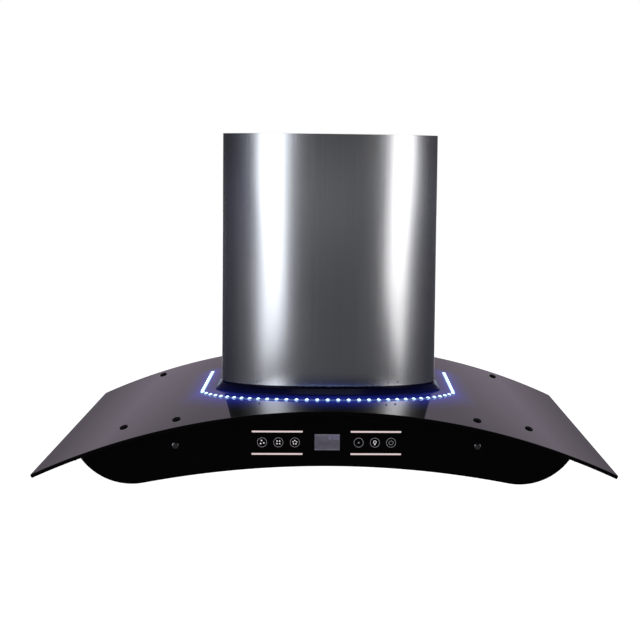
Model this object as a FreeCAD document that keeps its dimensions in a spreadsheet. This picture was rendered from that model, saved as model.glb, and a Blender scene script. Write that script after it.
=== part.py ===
import FreeCAD, Part
import math
import os
import re
import Sketcher

# Wall mount range hood with a curved glass canopy.
# Millimetres. X points right, Y points back into the wall, Z points up.
# The wall is the plane y = 0, and the origin is the centre of the wall bracket's four holes.

SIZES = {
    # Glass canopy
    "hood_width": 900,
    "glass_front_margin": 105,
    "wall_gap": 3,
    "glass_thickness": 6,
    "arch_radius": 1072,
    "crown_drop": 260,
    "notch_side_clearance": 12,
    "notch_front_clearance": 14,
    # General fits
    "seat_gap": 0.3,
    "slide_gap": 0.3,
    "inlay_gap": 0.1,
    "running_gap": 0.05,
    "overrun": 20,
    # Caps that hold the glass
    "cap_radius": 6.5,
    "cap_height": 3,
    "cap_seat_gap": 0.1,
    "cap_shank_radius": 2.5,
    "grommet_wall": 1.2,
    "cap_rear_x": 326,
    "cap_rear_y": 46,
    "cap_front_x": 327,
    "cap_front_inset": 90,
    "cap_inner_x": 236.5,
    "cap_inner_inset": 49,
    # Chimney cover
    "chimney_width": 368,
    "chimney_front_room": 63,
    "chimney_front_radius": 212,
    "chimney_height": 423.5,
    "chimney_sheet": 1,
    "chimney_lip": 15,
    "chimney_lift": 13,
    # Collar under the chimney cover
    "collar_flare": 10,
    "collar_height": 11.7,
    "collar_edge": 1.2,
    "collar_shoulder": 0.3,
    "collar_lip_height": 20,
    "collar_lip_wall": 2,
    "collar_lip_gap": 0.5,
    # Screws and rivets of the chimney cover
    "side_screw_inset": 26.3,
    "side_screw_lift": 15,
    "side_screw_head_radius": 4.5,
    "side_screw_head_height": 2.2,
    "side_screw_shank_radius": 2,
    "side_screw_length": 12,
    "side_screw_clearance": 0.2,
    "chimney_bracket_sheet": 1.5,
    "chimney_bracket_width": 20,
    "chimney_bracket_height": 22,
    "rivet_radius": 1.8,
    "rivet_height": 1,
    "rivet_rise": 6,
    "rivet_left_x": 118,
    "rivet_right_x": 100,
    "rivet_outer_x": 116,
    # Light line on the glass
    "tape_side_margin": 36,
    "tape_front_margin": 37,
    "tape_corner_margin": 7.7,
    "tape_arm_length": 155,
    "tape_width": 8,
    "tape_thickness": 2,
    "bead_pitch": 16.67,
    "bead_radius": 2.4,
    "bead_height": 1.4,
    # Steel body under the glass
    "skin_thickness": 1.5,
    "skin_half_width": 386,
    "skin_front_inset": 19,
    "air_opening_side_inset": 20,
    "air_opening_front_inset": 12,
    "air_opening_back": 30,
    "panel_thickness": 1.2,
    "panel_inset": 2,
    "panel_end_inset": 8,
    "side_wall_sheet": 1,
    "side_wall_lip": 10,
    "deck_drop": 75,
    "deck_sheet": 1,
    # Fascia
    "fascia_setback": 15,
    "fascia_thickness": 4,
    "fascia_top_gap": 0.6,
    "fascia_half_width": 377.5,
    "fascia_drop": 89.2,
    "under_radius": 1500,
    "lobe_x": 299,
    "lobe_radius": 96,
    "fascia_bolt_x": 232.5,
    "fascia_bolt_drop": 57,
    "fascia_bolt_radius": 5.25,
    "fascia_bolt_height": 2.5,
    "fascia_bolt_shank_radius": 2.5,
    "fascia_bolt_length": 12,
    "bolt_clearance": 0.3,
    # Touch controls
    "display_width": 39,
    "display_height": 25,
    "display_drop": 51.7,
    "light_bar_length": 80,
    "light_bar_height": 3,
    "light_bar_inner_x": 36,
    "light_bar_top_drop": 35.5,
    "light_bar_low_drop": 70,
    "touch_opening_width": 250,
    "touch_opening_height": 40,
    "board_width": 262,
    "board_height": 44,
    "board_thickness": 1.6,
    # Power box and lamp driver
    "power_box_width": 120,
    "power_box_depth": 46,
    "power_box_height": 38,
    "power_box_wall": 2,
    "power_box_inset": 13.2,
    "lid_thickness": 1.5,
    "driver_x": 150,
    "driver_width": 60,
    "driver_depth": 32,
    "driver_height": 20,
    "driver_inset": 19.2,
    # Lamps
    "lamp_outset": 107,
    "lamp_inset": 39.2,
    "lamp_strip": 75.2,
    "lamp_hole_radius": 27,
    "lamp_flange_radius": 33,
    "lamp_flange_height": 1.6,
    "lamp_sleeve_wall": 1.4,
    "lamp_sleeve_height": 9,
    "lamp_fit_gap": 0.2,
    "lens_thickness": 2,
    "lens_ledge": 1.5,
    "lamp_body_height": 22,
    "lamp_body_wall": 1.5,
    # Grease filters
    "filter_middle_gap": 14,
    "filter_width": 272,
    "filter_back_y": 84,
    "filter_height": 9,
    "filter_rail": 12,
    "filter_front_rail": 30,
    "filter_flange": 1.2,
    "filter_edge_chamfer": 2.6,
    "deck_opening_inset": 10,
    "baffle_width": 15,
    "baffle_leg": 3.2,
    "baffle_sheet": 0.8,
    "baffle_count": 11,
    "baffle_layer_gap": 0.6,
    # Filter hinges and latches
    "hinge_pin_radius": 2,
    "hinge_pin_length": 5,
    "hinge_pin_inset": 3.4,
    "hinge_bracket_sheet": 2,
    "hinge_bracket_width": 10,
    "hinge_bracket_wall": 2.6,
    "latch_width": 40,
    "latch_length": 13,
    "latch_room": 20,
    "latch_height": 4.4,
    "latch_tongue_width": 20,
    "latch_tongue_height": 2,
    "latch_tongue_reach": 4,
    "latch_ridge_height": 2.4,
    "latch_ridge_length": 3,
    "latch_wall": 6,
    # Wall bracket and motor box
    "bracket_side_margin": 10,
    "bracket_sheet": 2.5,
    "bracket_above": 35,
    "hook_drop": 30,
    "hook_depth": 15,
    "hook_room": 3,
    "hole_spacing_x": 240,
    "hole_spacing_z": 36,
    "hole_radius": 4,
    "plenum_width": 280,
    "plenum_front_room": 28,
    "plenum_sheet": 1.5,
    "hook_side_gap": 0.75,
    # Blower housing
    "blower_y": 215,
    "blower_drop": 125,
    "scroll_radius": 88,
    "scroll_step": 12,
    "scroll_sheet": 1,
    "scroll_width": 120,
    "cutoff_offset": 10,
    "inlet_radius": 68,
    "inlet_lip": 4,
    # Impeller and motor
    "impeller_radius": 80,
    "impeller_inner_radius": 70,
    "impeller_width": 108,
    "blade_sheet": 1,
    "blade_slant": 5,
    "blade_count": 32,
    "hub_disc_sheet": 1.5,
    "hub_radius": 11,
    "hub_length": 18,
    "end_ring_width": 3,
    "shaft_radius": 4,
    "shaft_fit_gap": 0.02,
    "motor_radius": 45,
    "motor_length": 74,
    "motor_start": 8,
    "motor_shoulder": 6,
    "motor_nose_radius": 18,
    "spider_gap": 0.2,
    "spider_ring": 7,
    "spider_sheet": 2,
    "spider_arm_width": 14,
    "spider_arm_reach": 84,
    "spider_arm_count": 3,
    # Capacitor
    "capacitor_radius": 15,
    "capacitor_length": 55,
    "capacitor_y": 62,
    "capacitor_base_drop": 130,
    "clip_wall": 1.2,
    "clip_height": 14,
    "clip_rise": 20,
    # Outlet with its non-return flaps
    "spigot_radius": 74.5,
    "spigot_bore_radius": 72,
    "spigot_height": 50,
    "spigot_flange_radius": 86,
    "spigot_flange_height": 3,
    "flap_radius": 70.5,
    "flap_thickness": 1.2,
    "flap_pivot_x": 4,
    "flap_pivot_rise": 10,
    "flap_barrel_radius": 2.6,
    "flap_pin_radius": 1.25,
    "flap_ledge_width": 4,
    "flap_ledge_height": 1.5,
    # Small screws of the outlet and of the motor's bracket
    "small_screw_head_radius": 3.5,
    "small_screw_head_height": 2,
    "small_screw_shank_radius": 1.8,
    "small_screw_length": 7,
    "small_screw_clearance": 0.2,
    "spider_screw_reach": 77,
    # Cable gland
    "gland_x": 100,
    "gland_y": 60,
    "gland_flange_radius": 11,
    "gland_flange_height": 4,
    "gland_thread_radius": 8,
    "gland_thread_length": 10,
    "gland_bore_radius": 3.5,
    "gland_clearance": 0.2,
}

# Places that follow from the sizes, as formulas
PLACES = {
    "plenum_reach": "blower_y + scroll_radius + scroll_sheet + plenum_front_room",
    "chimney_reach": "plenum_reach + chimney_front_room",
    "hood_depth": "chimney_reach + glass_front_margin",
    "notch_width": "plenum_width + 2 * notch_side_clearance",
    "notch_depth": "plenum_reach + notch_front_clearance",
    "cap_front_y": "hood_depth - cap_front_inset",
    "cap_inner_y": "hood_depth - cap_inner_inset",
    "arch_z": "-(crown_drop + arch_radius)",
    "glass_under_radius": "arch_radius - glass_thickness",
    "skin_radius": "glass_under_radius - seat_gap",
    "skin_under_radius": "skin_radius - skin_thickness",
    "panel_top_radius": "skin_under_radius - seat_gap",
    "skin_front_y": "hood_depth - skin_front_inset",
    "chimney_half": "chimney_width / 2",
    "chimney_arc_y": "-chimney_reach + chimney_front_radius",
    "chimney_corner_y": "-chimney_arc_y + sqrt(chimney_front_radius^2 - chimney_half^2)",
    "side_screw_y": "chimney_corner_y - side_screw_inset",
    "tape_half_width_x": "chimney_half + tape_side_margin",
    "tape_front_y": "chimney_reach + tape_front_margin",
    "tape_corner_y": "chimney_corner_y + tape_corner_margin",
    "tape_arm_end_y": "tape_corner_y - tape_arm_length",
    "air_opening_width": "plenum_width - 2 * air_opening_side_inset",
    "air_opening_front": "plenum_reach - air_opening_front_inset",
    "bracket_width": "plenum_width + 2 * bracket_side_margin",
    "fascia_front_y": "hood_depth - fascia_setback",
    "panel_front_y": "fascia_front_y - fascia_thickness - seat_gap",
    "panel_back_y": "panel_front_y - panel_thickness",
    "rear_panel_front_y": "wall_gap + panel_thickness",
    "under_z": "-(crown_drop + fascia_drop + under_radius)",
    "lobe_z": "under_z + sqrt((under_radius + lobe_radius)^2 - lobe_x^2)",
    "panel_half": "fascia_half_width - panel_end_inset",
    "panel_lobe_radius": "lobe_radius - panel_inset",
    "deck_top_z": "-(crown_drop + deck_drop)",
    "deck_under_z": "deck_top_z - deck_sheet",
    "deck_half": "panel_half - side_wall_sheet - seat_gap",
    "deck_front_y": "panel_back_y - seat_gap",
    "deck_back_y": "rear_panel_front_y + seat_gap",
    "filter_top_z": "deck_under_z - seat_gap",
    "filter_under_z": "filter_top_z - filter_height",
    "filter_front_y": "deck_front_y - lamp_strip",
    "filter_depth": "filter_front_y - filter_back_y",
    "filter_centre_x": "(filter_middle_gap + filter_width) / 2",
    "lamp_x": "filter_centre_x + lamp_outset",
    "lamp_y": "deck_front_y - lamp_inset",
    "power_box_front_y": "deck_front_y - power_box_inset",
    "driver_front_y": "deck_front_y - driver_inset",
    "hinge_y": "filter_back_y + hinge_pin_inset",
    "hinge_z": "filter_top_z - hinge_pin_inset",
    "latch_top_z": "filter_under_z + latch_height",
    "plenum_back_y": "hook_depth",
    "plenum_half": "plenum_width / 2",
    "plenum_inner_half": "plenum_half - plenum_sheet",
    "plenum_top_z": "-hook_drop",
    "blower_z": "-(hook_drop + blower_drop)",
    "blower_half": "scroll_width / 2",
    "scroll_right_y": "-blower_y + scroll_radius + 3 * scroll_step",
    "cutoff_y": "-blower_y + cutoff_offset",
    "scroll_top_z": "plenum_top_z - plenum_sheet - seat_gap",
    "outlet_y": "(scroll_right_y + cutoff_y) / 2",
    "pivot_z": "plenum_top_z + spigot_flange_height + flap_pivot_rise",
    "tape_radius": "arch_radius + inlay_gap",
    "bead_seat_radius": "tape_radius + tape_thickness + inlay_gap",
    "tape_run": "tape_front_y - tape_corner_y",
    "tape_arc_radius": "(tape_half_width_x^2 + tape_run^2) / (2 * tape_run)",
    "tape_arc_y": "-tape_front_y + tape_arc_radius",
    "screw_z": "-crown_drop + side_screw_lift",
    "touch_z": "-(crown_drop + display_drop)",
    "flange_screw_reach": "(spigot_radius + spigot_flange_radius) / 2",
    "spider_face": "blower_half + 2 * inlay_gap + scroll_sheet",
}

X_AXIS = FreeCAD.Vector(1, 0, 0)
Y_AXIS = FreeCAD.Vector(0, 1, 0)
Z_AXIS = FreeCAD.Vector(0, 0, 1)
TOP, FRONT, SIDE = "XY_Plane", "XZ_Plane", "YZ_Plane"
UPWARDS, RIGHTWARDS, BACKWARDS = (Z_AXIS, "0"), (Y_AXIS, "90"), (X_AXIS, "-90")

document = FreeCAD.newDocument("RangeHood")
sheet = document.addObject("Spreadsheet::Sheet", "Sizes")
pieces = []


def fill_sheet():
    """One row for each driving dimension: its name and its number."""
    for row, (name, number) in enumerate(SIZES.items(), 1):
        sheet.set(f"A{row}", name)
        sheet.set(f"B{row}", str(number))
        sheet.setAlias(f"B{row}", name)
    document.recompute()


def formula(text):
    """A sheet formula from one in plain names: places are written out, sizes point to their cells."""
    def swap(match):
        word = match.group()
        if word in PLACES:
            return "(" + formula(PLACES[word]) + ")"
        return "Sizes." + word if word in SIZES else word
    return re.sub(r"[a-z][a-z_0-9]*", swap, str(text))


def value(text):
    """The number that a formula gives."""
    return float(sheet.evalExpression(formula(text)))


def bind(thing, prop, text):
    thing.setExpression(prop, formula(text))


def place(thing, at=("0", "0", "0"), turn=None):
    """Puts a thing at a point given by three formulas, turned about an axis by a formula in degrees."""
    if turn:
        thing.Placement = FreeCAD.Placement(FreeCAD.Vector(), FreeCAD.Rotation(turn[0], 1))
        bind(thing, "Placement.Rotation.Angle", turn[1])
    for letter, text in zip("xyz", at):
        bind(thing, "Placement.Base." + letter, text)


def finish(thing, node):
    """Names a finished sub-part after its node."""
    thing.Label = node
    pieces.append(thing)
    return thing


def on_arc(centre, radius, run):
    """Height, over a centre, of the point of a circle at this run to the side."""
    return f"({centre}) + sqrt(({radius})^2 - ({run})^2)"


def under_arc(centre, radius, run):
    return f"({centre}) - sqrt(({radius})^2 - ({run})^2)"


def on_arch(radius, run):
    return on_arc("arch_z", radius, run)


# Sketches and the features made from them

def new_body(name):
    return document.addObject("PartDesign::Body", name)


def origin_of(body, role):
    return next(item for item in body.Origin.OriginFeatures if item.Role == role)


def draw_arc(drawing, start, end, radius, turn):
    """Adds the shorter arc between two points, bending left or right on its way."""
    chord = end - start
    side = FreeCAD.Vector(-chord.y, chord.x, 0) / chord.Length
    rise = math.sqrt(radius ** 2 - (chord.Length / 2) ** 2)
    centre = (start + end) / 2 + side * (rise if turn == "left" else -rise)
    first, last = (start, end) if turn == "left" else (end, start)
    angles = [math.atan2(spot.y - centre.y, spot.x - centre.x) for spot in (first, last)]
    circle = Part.Circle(centre, Z_AXIS, radius)
    drawing.addGeometry(Part.ArcOfCircle(circle, angles[0], angles[1]), False)


def draw_outline(drawing, corners):
    """A closed outline. A corner is (x, y), or (x, y, radius, turn) where an arc arrives at it."""
    spots = [FreeCAD.Vector(value(corner[0]), value(corner[1]), 0) for corner in corners]
    base = drawing.GeometryCount
    count = len(corners)
    links, bindings = [], []
    for index, corner in enumerate(corners):
        arriving = [spots[index - 1], spots[index]]
        if len(corner) == 2:
            drawing.addGeometry(Part.LineSegment(*arriving), False)
        else:
            draw_arc(drawing, *arriving, value(corner[2]), corner[3])
    ends = [1 if len(corner) > 2 and corner[3] == "right" else 2 for corner in corners]
    for index, corner in enumerate(corners):
        edge, following = base + index, base + (index + 1) % count
        start = 3 - ends[(index + 1) % count]
        links.append(Sketcher.Constraint("Coincident", edge, ends[index], following, start))
        links.append(Sketcher.Constraint("DistanceX", -1, 1, edge, ends[index], spots[index].x))
        bindings.append((len(links) - 1, corner[0]))
        links.append(Sketcher.Constraint("DistanceY", -1, 1, edge, ends[index], spots[index].y))
        bindings.append((len(links) - 1, corner[1]))
        if len(corner) > 2:
            links.append(Sketcher.Constraint("Radius", edge, value(corner[2])))
            bindings.append((len(links) - 1, corner[2]))
    offset = drawing.ConstraintCount
    drawing.addConstraint(links)
    for index, text in bindings:
        bind(drawing, f"Constraints[{offset + index}]", text)


def draw_circle(drawing, x, y, radius):
    centre = FreeCAD.Vector(value(x), value(y), 0)
    edge = drawing.GeometryCount
    drawing.addGeometry(Part.Circle(centre, Z_AXIS, value(radius)), False)
    offset = drawing.ConstraintCount
    drawing.addConstraint([
        Sketcher.Constraint("DistanceX", -1, 1, edge, 3, centre.x),
        Sketcher.Constraint("DistanceY", -1, 1, edge, 3, centre.y),
        Sketcher.Constraint("Radius", edge, value(radius)),
    ])
    for index, text in enumerate((x, y, radius)):
        bind(drawing, f"Constraints[{offset + index}]", text)


def sketch(body, name, plane, outlines=(), circles=(), level="0"):
    """A sketch on one of the body's own planes, moved along the plane's normal by a level."""
    drawing = body.newObject("Sketcher::SketchObject", name)
    drawing.AttachmentSupport = [(origin_of(body, plane), "")]
    drawing.MapMode = "FlatFace"
    bind(drawing, "AttachmentOffset.Base.z", level)
    for corners in outlines:
        draw_outline(drawing, corners)
    for circle in circles:
        draw_circle(drawing, *circle)
    return drawing


def pad(body, name, drawing, length):
    feature = body.newObject("PartDesign::Pad", name)
    feature.Profile = drawing
    bind(feature, "Length", length)
    return feature


def cut_through(body, name, drawing):
    """A pocket that runs right through the body, both ways from its sketch."""
    feature = body.newObject("PartDesign::Pocket", name)
    feature.Profile = drawing
    feature.Type = "ThroughAll"
    feature.SideType = "Symmetric"
    return feature


def cut_deep(body, name, drawing, depth):
    """A pocket of some depth, on the side of the sketch that its plane's normal points away from."""
    feature = body.newObject("PartDesign::Pocket", name)
    feature.Profile = drawing
    bind(feature, "Length", depth)
    return feature


def revolve(body, name, drawing, role):
    feature = body.newObject("PartDesign::Revolution", name)
    feature.Profile = drawing
    feature.ReferenceAxis = (origin_of(body, role), [""])
    feature.Angle = 360
    return feature


def slab(node, plane, outlines, circles, level, length):
    """A body that is one flat outline given a thickness."""
    body = new_body(node + "_body")
    pad(body, node + "_pad", sketch(body, node + "_sketch", plane, outlines, circles, level), length)
    return body


def turned(node, corners, role="Z_Axis", plane=FRONT):
    """A body that is one outline turned about an axis of its plane."""
    body = new_body(node + "_body")
    revolve(body, node + "_turn", sketch(body, node + "_sketch", plane, [corners]), role)
    return body


def rectangle(left, low, right, high):
    return [(left, low), (right, low), (right, high), (left, high)]


# Primitives and how they join

def cylinder(name, radius, height, at=("0", "0", "0"), turn=UPWARDS):
    thing = document.addObject("Part::Cylinder", name)
    bind(thing, "Radius", radius)
    bind(thing, "Height", height)
    place(thing, at, turn)
    return thing


def box(name, low, high):
    """A box between its lowest and its highest corner."""
    thing = document.addObject("Part::Box", name)
    for prop, start, end in zip(("Length", "Width", "Height"), low, high):
        bind(thing, prop, f"({end}) - ({start})")
    place(thing, low)
    return thing


def fuse(name, items):
    thing = document.addObject("Part::MultiFuse", name)
    thing.Shapes = items
    return thing


def cut(name, base, tool):
    thing = document.addObject("Part::Cut", name)
    thing.Base = base
    thing.Tool = tool
    return thing


def group(name, items):
    thing = document.addObject("Part::Compound", name)
    thing.Links = items
    return thing


def feature_of(name, shape):
    """A piece whose shape is worked out in code from the sheet's sizes."""
    thing = document.addObject("Part::Feature", name)
    thing.Shape = shape
    thing.Placement = FreeCAD.Placement()
    return thing


SIDES = (("left", -1), ("right", 1))
SMALL_HOLE = "(small_screw_shank_radius + small_screw_clearance)"


def mirrored(text, sign):
    return f"{sign} * ({text})"


# Glass canopy and what holds it

def cap_spots():
    """Places of the six caps, as x and distance from the wall."""
    spots = [("cap_rear_x", "cap_rear_y"), ("cap_front_x", "cap_front_y"), ("cap_inner_x", "cap_inner_y")]
    return [(mirrored(x, sign), y) for _, sign in SIDES for x, y in spots]


def arch_stud(name, radius, low, high, x, y):
    """A cylinder square to the arch, between two radii of it."""
    lean = f"asin(({x}) / arch_radius)"
    at = (f"({low}) * sin({lean})", f"-({y})", f"arch_z + ({low}) * cos({lean})")
    return cylinder(name, radius, f"({high}) - ({low})", at, (Y_AXIS, lean))


def arched_sheet(node, half, outer, inner, front, back):
    """A sheet bent to the arch, between two radii, from a front to a back distance from the wall."""
    outline = [
        (f"-({half})", on_arch(outer, half)),
        (half, on_arch(outer, half), outer, "right"),
        (half, on_arch(inner, half)),
        (f"-({half})", on_arch(inner, half), inner, "left"),
    ]
    return slab(node, FRONT, [outline], (), back, f"({front}) - ({back})")


def drill_caps(node, base, radius):
    drills = [
        arch_stud(f"{node}_drill_{index}", radius, "arch_radius - overrun", "arch_radius + overrun", x, y)
        for index, (x, y) in enumerate(cap_spots())
    ]
    return cut(node + "_drilled", base, group(node + "_drills", drills))


def make_glass():
    glass = arched_sheet(
        "glass_canopy", "hood_width / 2", "arch_radius", "glass_under_radius", "hood_depth", "wall_gap")
    notch = rectangle("-notch_width / 2", "-notch_depth", "notch_width / 2", "overrun")
    cut_through(glass, "glass_notch", sketch(glass, "glass_notch_sketch", TOP, [notch]))
    hole = "cap_shank_radius + inlay_gap + grommet_wall + inlay_gap"
    finish(drill_caps("glass", glass, hole), "glass_canopy")


def make_caps():
    caps, grommets = [], []
    seat = "arch_radius + cap_seat_gap"
    foot = "skin_under_radius - glass_thickness"
    sleeve = "cap_shank_radius + inlay_gap"
    for index, (x, y) in enumerate(cap_spots()):
        shank = arch_stud(f"cap_shank_{index}", "cap_shank_radius", foot, seat, x, y)
        head = arch_stud(f"cap_head_{index}", "cap_radius", seat, f"{seat} + cap_height", x, y)
        caps.append(fuse(f"cap_{index}", [shank, head]))
        low, high = "glass_under_radius", "arch_radius"
        outer = arch_stud(f"grommet_outer_{index}", f"{sleeve} + grommet_wall", low, high, x, y)
        inner = arch_stud(f"grommet_inner_{index}", sleeve, f"{low} - overrun", f"{high} + overrun", x, y)
        grommets.append(cut(f"grommet_{index}", outer, inner))
    finish(group("glass_caps_group", caps), "glass_caps")
    finish(group("glass_grommets_group", grommets), "glass_grommets")


# Chimney cover, its collar and its fasteners

def chimney_corner(inset):
    """Where the flat side meets the front curve, for a face that lies this far inside the cover's."""
    return under_arc("chimney_arc_y", f"chimney_front_radius - {inset}", f"chimney_half - {inset}")


def make_chimney():
    body = new_body("chimney_body")
    outer, inner = "chimney_front_radius", "chimney_front_radius - chimney_sheet"
    half, inner_half = "chimney_half", "(chimney_half - chimney_sheet)"
    lip = "(chimney_half - chimney_lip)"
    outline = [
        (f"-{lip}", "0"),
        (f"-{half}", "0"),
        (f"-{half}", chimney_corner("0")),
        (half, chimney_corner("0"), outer, "left"),
        (half, "0"),
        (lip, "0"),
        (lip, "-chimney_sheet"),
        (inner_half, "-chimney_sheet"),
        (inner_half, chimney_corner("chimney_sheet")),
        (f"-{inner_half}", chimney_corner("chimney_sheet"), inner, "right"),
        (f"-{inner_half}", "-chimney_sheet"),
        (f"-{lip}", "-chimney_sheet"),
    ]
    low = "-(crown_drop + hook_drop)"
    drawing = sketch(body, "chimney_plan", TOP, [outline], level=low)
    pad(body, "chimney_walls", drawing, f"chimney_height - crown_drop - ({low})")
    rim = "arch_radius + chimney_lift"
    room = "(chimney_half + overrun)"
    floor = "-(crown_drop + hook_drop + overrun)"
    below = [
        (f"-{room}", floor),
        (f"-{room}", on_arch(rim, room)),
        (room, on_arch(rim, room), rim, "right"),
        (room, floor),
    ]
    cut_through(body, "chimney_rim", sketch(body, "chimney_rim_sketch", FRONT, [below]))
    drill = cylinder(
        "chimney_drill", "side_screw_shank_radius + side_screw_clearance", "chimney_width + 2 * overrun",
        ("-(chimney_half + overrun)", "-side_screw_y", "screw_z"), RIGHTWARDS)
    finish(cut("chimney_drilled", body, drill), "chimney_cover")


def make_chimney_brackets():
    brackets = []
    low, high = "screw_z - chimney_bracket_height / 3", "screw_z + 2 * chimney_bracket_height / 3"
    foot, flange = "(plenum_half + seat_gap)", "(chimney_half - chimney_sheet - seat_gap)"
    tread = "chimney_bracket_sheet"
    near = "side_screw_y - chimney_bracket_width / 2"
    for side, sign in SIDES:
        outline = [
            (mirrored(foot, sign), high),
            (mirrored(foot, sign), low),
            (mirrored(flange, sign), low),
            (mirrored(flange, sign), high),
            (mirrored(f"{flange} - {tread}", sign), high),
            (mirrored(f"{flange} - {tread}", sign), f"{low} + {tread}"),
            (mirrored(f"{foot} + {tread}", sign), f"{low} + {tread}"),
            (mirrored(f"{foot} + {tread}", sign), high),
        ]
        strap = slab(f"chimney_bracket_{side}", FRONT, [outline], (), near, "chimney_bracket_width")
        drill = cylinder(
            f"chimney_bracket_drill_{side}", "side_screw_shank_radius + side_screw_clearance",
            f"2 * {tread} + 2 * seat_gap",
            (f"{sign} * ({flange}) - {tread} - seat_gap", "-side_screw_y", "screw_z"), RIGHTWARDS)
        brackets.append(cut(f"chimney_bracket_{side}_drilled", strap, drill))
    finish(group("chimney_brackets_group", brackets), "chimney_brackets")


def make_chimney_fasteners():
    screws = []
    for side, sign in SIDES:
        aim = (Y_AXIS, f"{sign} * 90")
        seat = mirrored("chimney_half", sign)
        inward = mirrored("chimney_half - side_screw_length", sign)
        head = cylinder(f"side_screw_head_{side}", "side_screw_head_radius", "side_screw_head_height",
                        (seat, "-side_screw_y", "screw_z"), aim)
        shank = cylinder(f"side_screw_shank_{side}", "side_screw_shank_radius", "side_screw_length",
                         (inward, "-side_screw_y", "screw_z"), aim)
        screws.append(fuse(f"side_screw_{side}", [head, shank]))
    finish(group("chimney_screws_group", screws), "chimney_screws")
    rivets = []
    for index, x in enumerate(("-rivet_left_x", "rivet_right_x", "rivet_outer_x")):
        bearing = f"asin(({x}) / chimney_front_radius)"
        face = "(chimney_front_radius + inlay_gap)"
        at = (f"{face} * sin({bearing})", f"chimney_arc_y - {face} * cos({bearing})",
              f"{on_arch('arch_radius + chimney_lift', x)} + rivet_rise")
        rivet = document.addObject("Part::Cylinder", f"rivet_{index}")
        bind(rivet, "Radius", "rivet_radius")
        bind(rivet, "Height", "rivet_height")
        lean = FreeCAD.Rotation(Z_AXIS, value(bearing)).multiply(FreeCAD.Rotation(X_AXIS, 90))
        rivet.Placement = FreeCAD.Placement(FreeCAD.Vector(), lean)
        place(rivet, at)
        rivets.append(rivet)
    finish(group("rim_rivets_group", rivets), "rim_rivets")


def collar_section():
    """The collar's section, as distance out from the chimney's face and height over the glass."""
    lip_out = -value("chimney_sheet + collar_lip_gap")
    lip_in = lip_out - value("collar_lip_wall")
    seat, top, high = value("seat_gap"), value("collar_height"), value("collar_lip_height")
    return [
        (lip_in, seat),
        (value("collar_flare"), seat),
        (value("collar_flare"), seat + value("collar_edge")),
        (value("collar_shoulder"), top),
        (lip_out, top),
        (lip_out, high),
        (lip_in, high),
    ]


def collar_wire(spot, outward):
    """The section set up at one place of the chimney's outline, each corner at its height over the arch."""
    corners = []
    for out, rise in collar_section():
        x = spot.x + outward.x * out
        z = value("arch_z") + math.sqrt((value("arch_radius") + rise) ** 2 - x ** 2)
        corners.append(FreeCAD.Vector(x, spot.y + outward.y * out, z))
    return Part.makePolygon(corners + corners[:1])


def make_collar():
    half, radius = value("chimney_half"), value("chimney_front_radius")
    centre_y, back_y = value("chimney_arc_y"), -value("wall_gap")
    reach = math.asin(half / radius)
    mitre = (math.pi / 2 - reach) / 2
    sweep_steps = 12
    front = []
    for step in range(sweep_steps + 1):
        bearing = reach * (2 * step / sweep_steps - 1)
        normal = FreeCAD.Vector(math.sin(bearing), -math.cos(bearing), 0)
        spot = FreeCAD.Vector(0, centre_y, 0) + normal * radius
        if step in (0, sweep_steps):
            turn = math.copysign(reach + mitre, bearing)
            normal = FreeCAD.Vector(math.sin(turn), -math.cos(turn), 0) / math.cos(mitre)
        front.append((spot, normal))
    runs = [Part.makeLoft([collar_wire(*station) for station in front], True, False)]
    for station, sign in ((front[0], -1), (front[-1], 1)):
        rear = (FreeCAD.Vector(sign * half, back_y, 0), FreeCAD.Vector(sign, 0, 0))
        runs.append(Part.makeLoft([collar_wire(*rear), collar_wire(*station)], True, True))
    finish(feature_of("collar", runs[0].fuse(runs[1:])), "chimney_collar")


# Light line on the glass

def make_light_line():
    body = new_body("led_tape_body")
    inner = "(tape_half_width_x - tape_width / 2)"
    outer = "(tape_half_width_x + tape_width / 2)"
    inner_radius = "(tape_arc_radius - tape_width / 2)"
    outer_radius = "(tape_arc_radius + tape_width / 2)"
    outline = [
        (f"-{outer}", "-tape_arm_end_y"),
        (f"-{outer}", under_arc("tape_arc_y", outer_radius, outer)),
        (outer, under_arc("tape_arc_y", outer_radius, outer), outer_radius, "left"),
        (outer, "-tape_arm_end_y"),
        (inner, "-tape_arm_end_y"),
        (inner, under_arc("tape_arc_y", inner_radius, inner)),
        (f"-{inner}", under_arc("tape_arc_y", inner_radius, inner), inner_radius, "right"),
        (f"-{inner}", "-tape_arm_end_y"),
    ]
    low = "-(crown_drop + hook_drop + overrun)"
    pad(body, "tape_band", sketch(body, "tape_plan", TOP, [outline], level=low), "hook_drop + 3 * overrun")
    room = "(tape_half_width_x + overrun)"
    roof = "-crown_drop + 3 * overrun"
    floor = "-(crown_drop + hook_drop + 3 * overrun)"
    top = "tape_radius + tape_thickness"
    under = [
        (f"-{room}", floor),
        (f"-{room}", on_arch("tape_radius", room)),
        (room, on_arch("tape_radius", room), "tape_radius", "right"),
        (room, floor),
    ]
    over = [
        (f"-{room}", roof),
        (f"-{room}", on_arch(top, room)),
        (room, on_arch(top, room), top, "right"),
        (room, roof),
    ]
    cut_through(body, "tape_under", sketch(body, "tape_under_sketch", FRONT, [under]))
    cut_through(body, "tape_over", sketch(body, "tape_over_sketch", FRONT, [over]))
    finish(body, "led_tape")
    finish(feature_of("led_beads", Part.makeCompound(bead_shapes())), "led_beads")


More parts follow.
